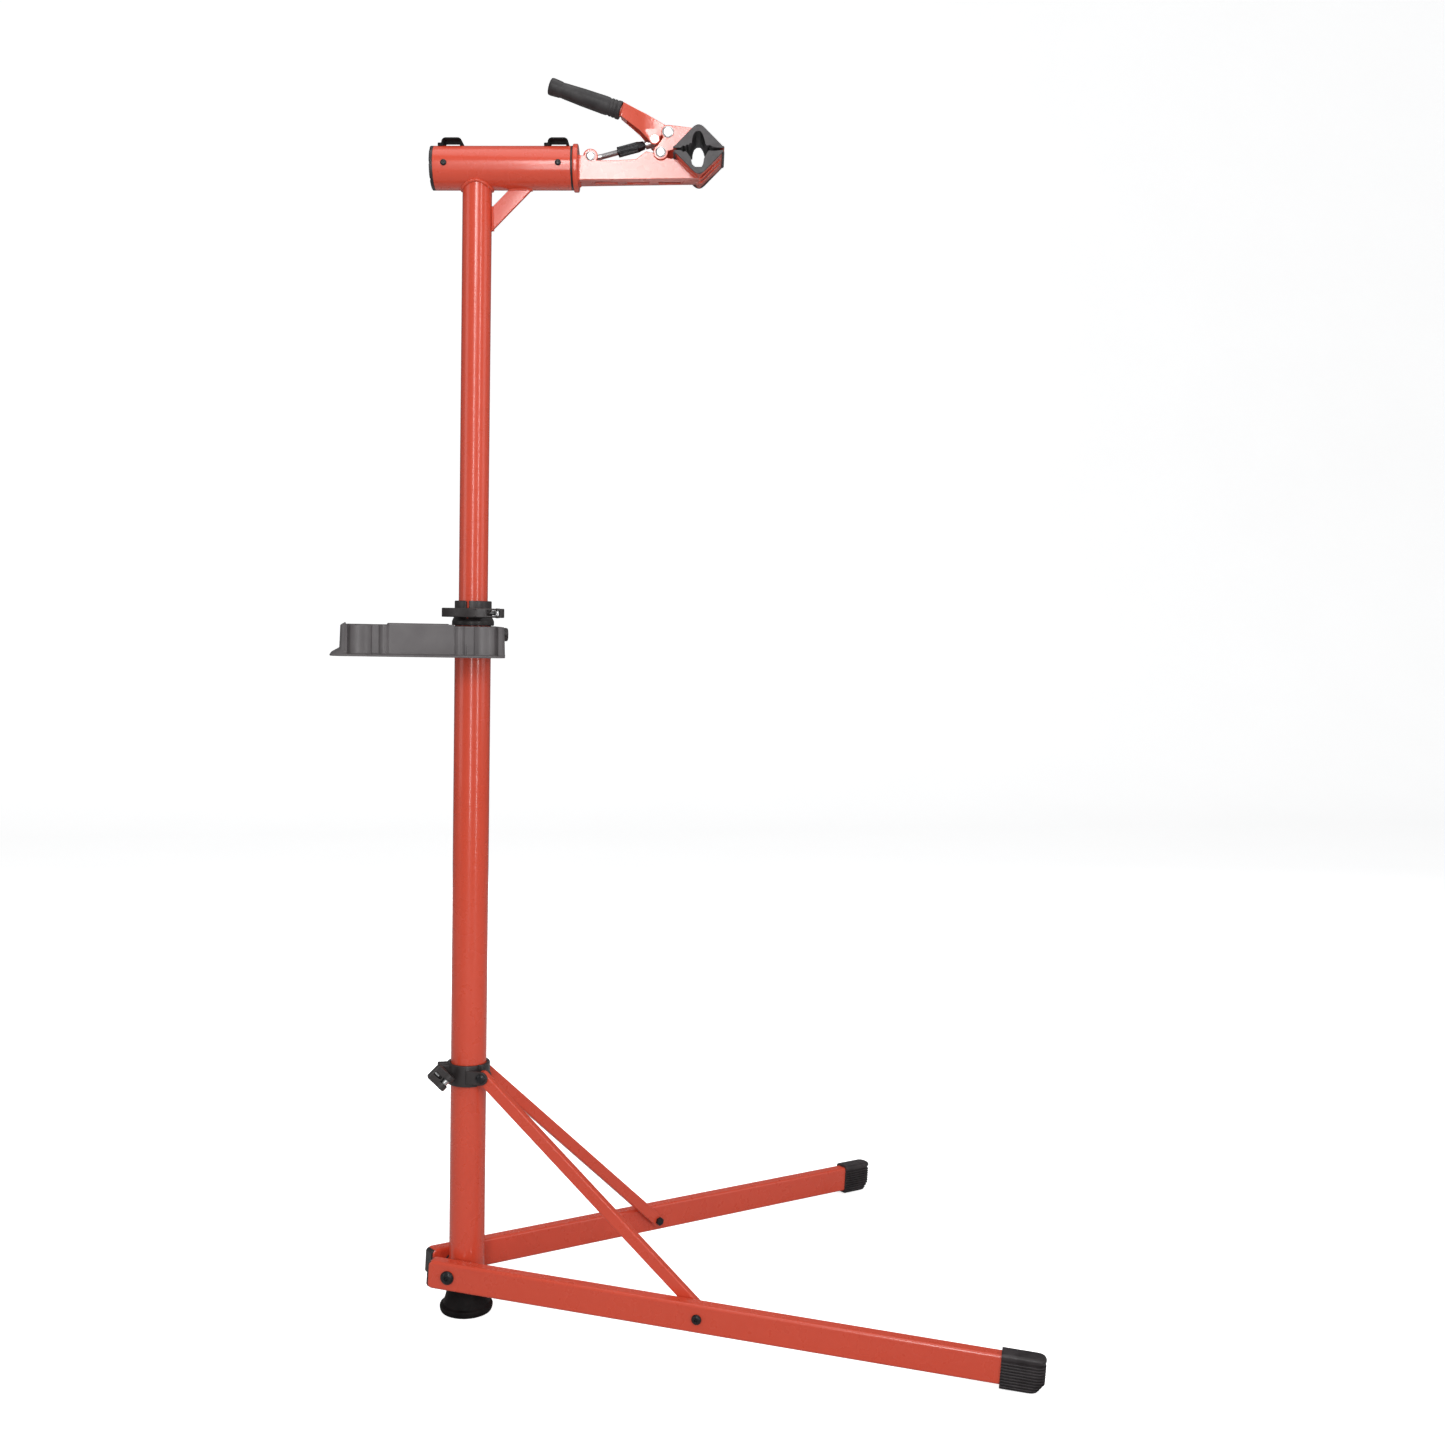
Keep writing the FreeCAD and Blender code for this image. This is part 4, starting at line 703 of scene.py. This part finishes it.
def tray_ribs():
    """Low ribs across the floor, on both sides of the hub."""
    half_thickness, low, high = 0.9, 2.0, 17.0
    ribs = []
    for middle in (-12.0, 12.0):
        for start, stop in ((-73.0, -29.0), (29.0, 73.0)):
            outline = [(middle - half_thickness, low), (middle + half_thickness, low),
                       (middle + half_thickness, high), (middle - half_thickness, high)]
            ribs.append(slab("tray_rib", outline, start, stop, TRAY, 0.5))
    return ribs


def build_tray():
    """Tray with pillars and bulges along its walls, a skirt flange, and a hub for the post."""
    plan = tray_plan()
    hub_profile = [
        (27.3, 0.0), (33.5, 0.0), (33.5, 2.4), (31.6, 3.4), (31.0, 5.0), (30.6, 40.6), (30.0, 41.6),
        (28.2, 42.0), (27.3, 41.2),
    ]
    hub = lathe("tray_hub", hub_profile, TRAY, 72, "join")
    boss_profile = [(7.8, 28.5), (7.5, 40.2), (6.9, 40.8), (4.2, 40.8)]
    boss = lathe("tray_boss", boss_profile, TRAY_SCREW, 36)
    tray = join([tray_wall(plan), tray_floor(plan), hub, boss, *tray_ribs()])
    shade(tray, 42)
    stand_for(tray, TRAY_PLASTIC, "tool_tray")


def build_tray_knob():
    """Small lobed knob on the tray's clamp screw."""
    lobes, points = 8, 96
    angles = [FULL_TURN * k / points for k in range(points)]
    rings = []
    for radius, along, depth in ((7.4, 41.8, 0.4), (8.8, 42.2, 0.8), (9.4, 43.4, 1.1),
                                 (9.4, 46.4, 1.1), (8.7, 47.8, 0.9), (7.2, 48.5, 0.5)):
        sizes = [radius - depth * (0.5 - 0.5 * math.cos(lobes * a)) ** 2 for a in angles]
        rings.append([(r * math.cos(a), r * math.sin(a), along) for r, a in zip(sizes, angles)])
    knob = loft("tray_knob_head", rings, TRAY_SCREW, sharp_degrees=50)
    stem = lathe("tray_knob_stem", [(4.0, 27.2), (4.0, 42.5)], TRAY_SCREW, 32)
    stand_for(join([knob, stem]), PLASTIC, "tray_knob")


# ---------------------------------------------------------------- mast head

def saddle_path():
    """Where the mast meets the head tube, a little outside both; the mast leans by tilt."""
    mast_radius, head_radius, tilt, steps = 20.6, 29.3, 0.02356, 120
    path = []
    for step in range(steps):
        angle = FULL_TURN * step / steps
        across = mast_radius * math.sin(angle)
        drop = -math.sqrt(head_radius ** 2 - across ** 2)
        path.append((mast_radius * math.cos(angle) + tilt * drop, across, drop))
    return path


def build_head_welds():
    """Weld beads around the mast's top and at both ends of the gusset."""
    pieces = [bead("saddle_weld", saddle_path(), 2.3, HEAD, closed=True, ripple=0.12, pitch=2.9)]
    for side in (-3.4, 3.4):
        down_mast = spread([(19.9, side, -52.0), (19.9, side, -83.5)], 0.7)
        along_head = spread([(43.0, side, -29.0), (74.5, side, -29.0)], 0.7)
        pieces.append(bead("gusset_mast_weld", down_mast, 1.5, HEAD))
        pieces.append(bead("gusset_head_weld", along_head, 1.5, HEAD))
    add_on(join(pieces), ORANGE, "mast_and_head")


def build_clamp_weld():
    """Weld bead where the clamp's channel meets its flange."""
    front, half, top, bottom = 138.6, 17.2, 13.0, -19.6
    corners = [(front, -half, top), (front, -half, bottom), (front, half, bottom), (front, half, top)]
    weld = bead("channel_weld", spread(corners, 0.7), 1.8, HEAD, pitch=2.4)
    add_on(weld, ORANGE, "clamp")


# ---------------------------------------------------------------- clamp handle and grip

GRIP_SLOPE = math.degrees(math.atan2(-96.6, 33.0))
GRIP = HEAD @ shifted(196.1, 0, 76.9) @ turned("Y", GRIP_SLOPE)


def build_grip():
    """Moulded grip: three rings by the handle, a long barrel body and a flared rounded end."""
    profile = [
        (8.0, 0.0), (11.6, 0.0), (12.4, 0.8), (12.5, 3.0), (12.3, 5.4), (11.3, 6.2), (11.3, 6.9),
        (12.1, 7.5), (12.2, 10.0), (11.3, 10.8), (11.3, 11.5), (12.0, 12.1), (12.0, 14.6),
        (11.1, 15.6), (11.2, 16.6), (12.1, 18.6), (12.3, 24.0), (12.0, 34.0), (11.9, 44.0),
        (11.6, 56.0), (11.0, 68.0), (10.6, 79.0), (10.2, 83.0), (10.3, 84.6), (10.9, 86.4),
        (11.2, 91.0), (11.6, 97.0), (11.5, 99.6), (10.8, 101.2), (9.0, 102.0), (4.0, 102.2),
    ]
    grip = lathe("grip", profile, GRIP, 72, sharp_degrees=60)
    stand_for(grip, GRIP_RUBBER, "handle_grip")


def build_handle():
    """Handle plates that bend together between the rod's end and the grip."""
    bend_x, grip_x = 231.0, 199.0
    inner_half, least_kept = 8.2, 0.14
    handle = rounded_copy("clamp_handle", 0.9)
    to_head = HEAD.inverted() @ handle.matrix_world
    from_head = to_head.inverted()
    across = (from_head.to_3x3() @ Vector((1, 0, 0))).normalized()
    work = bmesh.new()
    work.from_mesh(handle.data)
    for x in (bend_x, 222.0, 212.0, grip_x):
        geometry = [*work.verts, *work.edges, *work.faces]
        cut = from_head @ Vector((x, 0, 0))
        bmesh.ops.bisect_plane(work, geom=geometry, plane_co=cut, plane_no=across)
    for vert in work.verts:
        local = to_head @ vert.co
        share = min(1.0, max(0.0, (bend_x - local.x) / (bend_x - grip_x)))
        if abs(local.y) > inner_half and share > 0:
            kept = max(least_kept, 1 - 0.86 * share * (2 - share) ** 0.6)
            local.y = math.copysign(inner_half + (abs(local.y) - inner_half) * kept, local.y)
            vert.co = from_head @ local
    work.to_mesh(handle.data)
    work.free()
    shade(handle, 40)
    stand_for(handle, ORANGE_PRESSED, "clamp_handle")


# ---------------------------------------------------------------- jaws

# The linings run in the XZ plane of VEE, whose origin is the middle of the shut jaws.
VEE = HEAD @ shifted(302, 0, 15)
VEE_GAP = 1.3
LOWER_LINING = [
    (-24, -1.5), (-21, -4), (-18, -2.8), (-15, -5), (-10.5, -12), (-9, -20), (-5, -23.5),
    (4, -23.5), (6, -19), (7, -12.5), (10.5, -6), (13, -1.8), (20, -2.5),
]
UPPER_LINING = [
    (-24, 1.5), (-21, 4.5), (-18.5, 3), (-16, 6), (-13.5, 4.5), (-11, 8), (-9, 7),
    (-8.5, 14), (-6.5, 20), (-3, 23.3), (2.5, 23.3), (6, 18), (9.5, 5.5), (12, 3.5), (14, 5.5),
    (20, 2), (24, 1.5),
]


def resampled(chain, count, smoothing=1):
    """Evenly spaced points along an open chain, with its corners eased."""
    chain = [Vector(point) for point in chain]
    steps = [(second - first).length for first, second in zip(chain, chain[1:])]
    result = []
    for k in range(count):
        left = sum(steps) * k / (count - 1)
        leg = 0
        while left > steps[leg] and leg < len(steps) - 1:
            left -= steps[leg]
            leg += 1
        result.append(chain[leg].lerp(chain[leg + 1], min(1.0, left / steps[leg])))
    for _ in range(smoothing):
        inner = [(a + 2 * b + c) / 4 for a, b, c in zip(result, result[1:], result[2:])]
        result = [result[0], *inner, result[-1]]
    return result


def vee_back(half, up):
    """Outer chain of a vee pad from its left tip to its right one, round at the apex."""
    blunt, tip, apex_steps = 8.0, half - 3.2, 8
    chain = [(-tip, up * VEE_GAP), (-tip, up * (half - tip))]
    for step in range(apex_steps + 1):
        share = step / apex_steps
        across = blunt * (2 * share - 1)
        depth = half - blunt * (1 - 2 * share * (1 - share))
        chain.append((across, up * depth))
    return chain + [(tip, up * (half - tip)), (tip, up * VEE_GAP)]


def band(name, outer, inner, low, high, place, edge):
    """Solid between two matching chains in the XZ plane, thick from y=low to y=high."""
    rings = []
    for back, front in zip(outer, inner):
        across = (front - back).normalized()
        near = [(0.0, edge), (0.3 * edge, 0.3 * edge), (edge, 0.0)]
        ring = [(back + across * run, low + rise) for run, rise in near]
        ring += [(front - across * run, low + rise) for run, rise in reversed(near)]
        ring += [(front - across * run, high - rise) for run, rise in near]
        ring += [(back + across * run, high - rise) for run, rise in reversed(near)]
        rings.append([(point.x, y, point.y) for point, y in ring])
    return loft(name, rings, place, "cap", 50)


def tip_waves():
    """Where small rolls stand along both tips of a pad: across the jaw and along it."""
    return [(side * 32.6, -32.0 + 8.0 * step) for side in (-1, 1) for step in range(9)]


def build_pad(node, lining, up):
    """Rubber lining of a vee: toothed and waved inside, with lips over the metal's edges."""
    stations = 150
    body = (31.9, -36.4, 36.4, 0.2)
    lips = [(36.4, 36.0, 39.0, 0.6), (36.4, -39.0, -36.0, 0.6)]
    pieces = []
    for half, low, high, edge in [body, *lips]:
        back = vee_back(half, up)
        tip = back[-1][0]
        inner = resampled([(-tip, up * VEE_GAP), *lining, (tip, up * VEE_GAP)], stations, 3)
        outer = resampled(back, stations)
        pieces.append(band(f"{node}_rubber", outer, inner, low, high, VEE, edge))
    roll = [(1.2, -2.6), (2.1, -1.4), (2.1, 1.4), (1.2, 2.6)]
    for across, along in tip_waves():
        place = VEE @ shifted(across, along, up * 3.4) @ turned("X", 90)
        pieces.append(lathe("wave", roll, place, 20))
    pad = join(pieces)
    shade(pad, 48)
    stand_for(pad, PAD_RUBBER, node)


def blunt_apex(piece):
    """Flatten the sharp apex of a vee plate to where the pad's lip is round."""
    flat, half_width, half_length = 32.6, 4, 36.6
    to_vee = VEE.inverted() @ piece.matrix_world
    from_vee = to_vee.inverted()
    for vert in piece.data.vertices:
        local = to_vee @ vert.co
        if abs(local.x) < half_width and abs(local.y) < half_length and abs(local.z) > flat:
            local.z = math.copysign(flat, local.z)
            vert.co = from_vee @ local


def rib_chain(half, up):
    """Chain along a vee plate's outside from near one tip to near the other."""
    tip, apex = 29.0, 4.0
    corners = [(-tip, up * (half - tip)), (-apex, up * (half - apex)),
               (apex, up * (half - apex)), (tip, up * (half - tip))]
    return resampled(corners, 60, 2)


def build_vee_ridges():
    """Two ribs pressed outward along each vee plate."""
    crest, root, half_width = 37.4, 34.6, 3.4
    for up, body in ((-1, "clamp"), (1, "moving_jaw")):
        ribs = []
        for middle in (-10.0, 10.0):
            ribs.append(band("vee_rib", rib_chain(crest, up), rib_chain(root, up),
                             middle - half_width, middle + half_width, VEE, 0.9))
        add_on(join(ribs), ORANGE_PRESSED, body)


# ---------------------------------------------------------------- adjustable link

LINK_PIVOT, JAW_PIVOT, HANDLE_PIVOT = (155.3, 11.6), (250.5, 16.0), (260.6, 42.7)


def across_clamp(pivot):
    """Local frame with its Z axis across the clamp, at a pivot of the clamp's side view."""
    x, z = pivot
    return HEAD @ shifted(x, 0, z) @ turned("X", 90)


LINK = HEAD @ shifted(LINK_PIVOT[0], 0, LINK_PIVOT[1]) @ turned("Y", 90 - 14.78)


def build_link_rod():
    """Eye on the link rivet and a threaded shank."""
    plain_end, rod_end, pitch = 14.0, 80.0, 1.5
    eye_profile = [(6.6, -13.8), (7.5, -13.0), (7.5, 13.0), (6.6, 13.8)]
    eye = lathe("link_rod", eye_profile, across_clamp(LINK_PIVOT), 48)
    profile = [(4.0, 5.0), (4.0, plain_end)]
    for step in range(int((rod_end - plain_end) / pitch)):
        start = plain_end + pitch * step
        profile += [(3.95, start + 0.2 * pitch), (3.4, start + 0.7 * pitch)]
    shank = lathe("link_shank", profile, LINK, 28, sharp_degrees=70)
    stand_for(join([eye, shank]), ZINC, "link_rod")


def build_barrel():
    """Knurled sleeve with smooth tapered ends."""
    start, points = 37.5, 96
    profile = [
        (4.2, 0.0, 0.0), (6.6, 0.0, 0.0), (7.1, 0.6, 0.0), (7.1, 2.4, 0.0), (7.1, 2.6, 0.6),
        (7.1, 27.0, 0.6), (7.1, 27.2, 0.0), (7.1, 28.6, 0.0), (6.4, 31.0, 0.0), (5.7, 36.6, 0.0),
        (5.2, 37.5, 0.0), (4.2, 37.7, 0.0),
    ]
    rings = []
    for radius, along, groove in profile:
        ring = []
        for k in range(points):
            size = radius - groove if k % 4 < 2 else radius
            angle = FULL_TURN * k / points
            ring.append((size * math.cos(angle), size * math.sin(angle), start + along))
        rings.append(ring)
    barrel = loft("barrel", rings, LINK, sharp_degrees=30)
    stand_for(barrel, BLACK_STEEL, "adjuster_barrel")


def build_rivet(node, pivot, half, head):
    """Rivet across the clamp with a wide low head and a bevelled rim at each end."""
    top = half + 2.0
    profile = [
        (head * 0.55, -top), (head * 0.86, -top + 0.35), (head, -top + 1.1), (head, -half),
        (4.0, -half + 0.05), (4.0, half - 0.05), (head, half), (head, top - 1.1),
        (head * 0.86, top - 0.35), (head * 0.55, top),
    ]
    rivet = lathe(f"{node}_set", profile, across_clamp(pivot), 48)
    stand_for(rivet, ZINC, node)


# Radius of the rounded edges of each CAD node that keeps its shape.
ROUNDED_NODES = {
    "slide_collar": 1.3, "collar_cam_seat": 0.6, "height_clamp": 1.0,
    "height_clamp_lever": 1.0, "head_gusset": 0.9, "hose_clips": 0.9, "clamp_body": 0.9,
    "upper_jaw": 0.8, "leg_plug_right": 0.7, "leg_plug_left": 0.7, "rod_end_block": 0.5,
    "leg_pivot_bolts": 0.5, "brace_bolt_right": 0.4, "brace_bolt_left": 0.4, "collar_pins": 0.4,
    "brace_nut_right": 0.4, "brace_nut_left": 0.4, "spindle_bush_rear": 0.5,
    "spindle_bush_front": 0.5, "bush_screws": 0.3, "clamp_spindle": 0.6, "collar_bolt": 0.4,
    "height_clamp_bolt": 0.4, "rod_rivets": 0.25, "mast": 0.4, "lower_post": 0.4,
    "head_tube": 0.5, "brace_right": 0.4, "brace_left": 0.4,
}


# ---------------------------------------------------------------- collar lever, plain pieces

def box_ring(low, high, half, level, radius):
    """Rounded oblong in the XZ plane at y=level, from x=low to x=high."""
    corners = [(low, -half), (high, -half), (high, half), (low, half)]
    return [(x, level, z) for x, z in rounded_outline(corners, radius, 6)]


def lever_block(place):
    """The lever's flat block, its rims rounded, with a deep slot in its upper face."""
    near, far, half = 6.2, 24.3, 12.0
    slot_near, slot_far, slot_half = 8.4, 20.8, 2.3
    shell = ((-4.4, 1.4, 2.0), (-4.0, 0.4, 2.6), (-3.0, 0.0, 3.0), (5.0, 0.0, 3.0), (6.0, 0.4, 2.6),
             (6.4, 1.4, 2.0))
    slot = ((6.4, 0.4), (6.0, 0.0), (-2.0, 0.0))
    rings = [box_ring(near + shrink, far - shrink, half - shrink, level, radius)
             for level, shrink, radius in shell]
    rings += [box_ring(slot_near - grow, slot_far + grow, slot_half + grow, level, 1.5)
              for level, grow in slot]
    return loft("lever_block", rings, place, sharp_degrees=45)


def build_collar_lever():
    """Cam lever of the collar: two cheeks on its pin and a block with a slot and a bright tongue."""
    pin = Vector(joint("collar_lever_swing")["pos_m"]) / MM
    place = WORLD @ shifted(*pin) @ turned("Y", 45) @ turned("Z", 180)
    pieces = [lever_block(place)]
    for low, high in ((3.8, 12.0), (-12.0, -3.8)):
        profile = [(6.8, low), (7.5, low + 0.7), (7.5, high - 0.7), (6.8, high)]
        pieces.append(lathe("lever_cheek", profile, place, 48))
        web = [(0.0, low), (9.0, low), (9.0, high), (0.0, high)]
        pieces.append(slab("lever_web", web, -4.3, 6.3, place, 0.7))
    stand_for(join(pieces), PLASTIC, "collar_lever")
    outline = [(12.5, -1.3), (20.4, -1.3), (20.4, 1.3), (12.5, 1.3)]
    tongue = slab("lever_tongue", outline, -1.0, 2.6, place, 0.4)
    add_on(tongue, ZINC, "collar_quick_lever")


def build_rounded_pieces():
    """The CAD nodes whose shape is right but whose edges need rounding over."""
    for node, width in ROUNDED_NODES.items():
        piece = rounded_copy(node, width)
        if node in ("clamp_body", "upper_jaw"):
            blunt_apex(piece)
        stand_for(piece, material_of(node), node)


def build_pieces():
    """Every piece that stands for a CAD node or adds to one."""
    build_boot()
    for side_name in SIDES:
        build_leg(side_name)
        build_leg_cap(side_name)
    build_collar_lever()
    build_tray()
    build_tray_knob()
    build_head_welds()
    build_clamp_weld()
    build_grip()
    build_handle()
    build_pad("lower_pad", LOWER_LINING, -1)
    build_pad("upper_pad", UPPER_LINING, 1)
    build_vee_ridges()
    build_link_rod()
    build_barrel()
    build_rivet("link_rivet", LINK_PIVOT, 17.4, 6.2)
    build_rivet("jaw_rivet", JAW_PIVOT, 20.7, 7.0)
    build_rivet("handle_rivet", HANDLE_PIVOT, 20.65, 7.8)
    build_rounded_pieces()


# ---------------------------------------------------------------- stage

def aim(piece, target):
    """Turn a lamp to face a point."""
    direction = Vector(target) - piece.location
    piece.rotation_euler = direction.to_track_quat("-Z", "Y").to_euler()


def add_light(name, place, target, width, height, radiance):
    """Soft box; radiance is what its face shows, as a share of white."""
    lamp = bpy.data.lights.new(name, "AREA")
    lamp.shape = "RECTANGLE"
    lamp.size = width
    lamp.size_y = height
    lamp.energy = radiance * math.pi * width * height
    holder = bpy.data.objects.new(name, lamp)
    holder.location = place
    bpy.context.scene.collection.objects.link(holder)
    aim(holder, target)
    return holder


def add_lights():
    """Two tall strips for the streaks on the tubes, and large soft boxes all around."""
    middle = (0.1, 0.0, 1.0)
    add_light("strip_left", (-0.72, -3.05, 1.75), (0.0, 0.0, 1.55), 0.34, 2.9, 10.4)
    add_light("strip_right", (1.50, -2.80, 1.40), (0.0, 0.0, 1.30), 0.24, 2.4, 12.0)
    add_light("front_box", (-0.42, -2.95, 2.45), (0.1, 0.0, 1.5), 1.0, 0.8, 7.8)
    add_light("top_box", (0.3, -0.6, 3.4), middle, 2.2, 2.2, 1.7)
    add_light("left_fill", (-3.0, -0.6, 1.4), middle, 1.4, 2.0, 1.3)
    add_light("right_fill", (3.0, -1.2, 1.6), middle, 1.4, 2.0, 1.3)
    back_box = add_light("back_box", (0.4, 3.4, 2.0), middle, 2.4, 2.2, 5.0)
    back_box.visible_glossy = False


def add_world():
    """Surroundings that look white to the camera but light the stand only dimly."""
    world = bpy.data.worlds.new("studio")
    world.use_nodes = True
    tree = world.node_tree
    tree.nodes.clear()
    seen = tree.nodes.new("ShaderNodeBackground")
    seen.inputs["Color"].default_value = (1.0, 1.0, 1.0, 1.0)
    lighting = tree.nodes.new("ShaderNodeBackground")
    lighting.inputs["Color"].default_value = (0.97, 0.985, 1.0, 1.0)
    lighting.inputs["Strength"].default_value = 0.27
    path = tree.nodes.new("ShaderNodeLightPath")
    choice = tree.nodes.new("ShaderNodeMixShader")
    tree.links.new(path.outputs["Is Camera Ray"], choice.inputs["Fac"])
    tree.links.new(lighting.outputs["Background"], choice.inputs[1])
    tree.links.new(seen.outputs["Background"], choice.inputs[2])
    output = tree.nodes.new("ShaderNodeOutputWorld")
    tree.links.new(choice.outputs["Shader"], output.inputs["Surface"])
    bpy.context.scene.world = world


def add_floor():
    """Pale floor that rolls up into a backdrop far behind the stand; the camera sees it glow."""
    floor_half, backdrop_top = 9.0, 9.0
    bend_start, bend_radius, bend_steps = 5.0, 2.0, 12
    profile = [(-floor_half, 0.0), (bend_start, 0.0)]
    for step in range(1, bend_steps + 1):
        angle = math.pi / 2 * step / bend_steps
        profile.append((bend_start + bend_radius * math.sin(angle), bend_radius * (1 - math.cos(angle))))
    profile.append((bend_start + bend_radius, backdrop_top))
    points = [(x, y, z) for y, z in profile for x in (-floor_half, floor_half)]
    faces = [(2 * k, 2 * k + 1, 2 * k + 3, 2 * k + 2) for k in range(len(profile) - 1)]
    floor = shade(new_object("floor", points, faces))
    s = Shader("floor_paper")
    tone = s.mix(s.fit(s.noise(2.0, 3.0), 0.3, 0.7), (0.90, 0.90, 0.90), (0.93, 0.93, 0.93))
    seen = s.add("LightPath").outputs["Is Camera Ray"]
    tone = s.mix(seen, (0.50, 0.50, 0.50), tone)
    glow = s.maths("MULTIPLY", seen, 0.72)
    paper = s.finish(base_color=tone, roughness=0.9, specular_ior_level=0.1,
                     emission_color=(1.0, 1.0, 1.0), emission_strength=glow)
    floor.data.materials.append(paper)


def add_camera():
    """Camera standing in front of the stand, a little to its left, looking slightly down."""
    place = Vector((-0.1506, -2.2426, 0.9933))
    heading = math.radians(-12.79)
    dip = math.radians(3.75)
    roll = math.radians(1.16)
    level = Vector((-math.sin(heading), math.cos(heading), 0.0))
    forward = level * math.cos(dip) - Vector((0.0, 0.0, math.sin(dip)))
    right = Vector((math.cos(heading), math.sin(heading), 0.0))
    up = right.cross(forward)
    rolled_right = right * math.cos(roll) + up * math.sin(roll)
    rolled_up = up * math.cos(roll) - right * math.sin(roll)
    turn = Matrix((rolled_right, rolled_up, -forward)).transposed().to_4x4()
    data = bpy.data.cameras.new("camera")
    data.sensor_width = 36.0
    data.lens = 39.71
    camera = bpy.data.objects.new("camera", data)
    camera.matrix_world = Matrix.Translation(place) @ turn
    bpy.context.scene.collection.objects.link(camera)
    bpy.context.scene.camera = camera


finish_cad_nodes()
build_pieces()
add_lights()
add_world()
add_floor()
add_camera()
bpy.context.scene.view_settings.view_transform = "Standard"
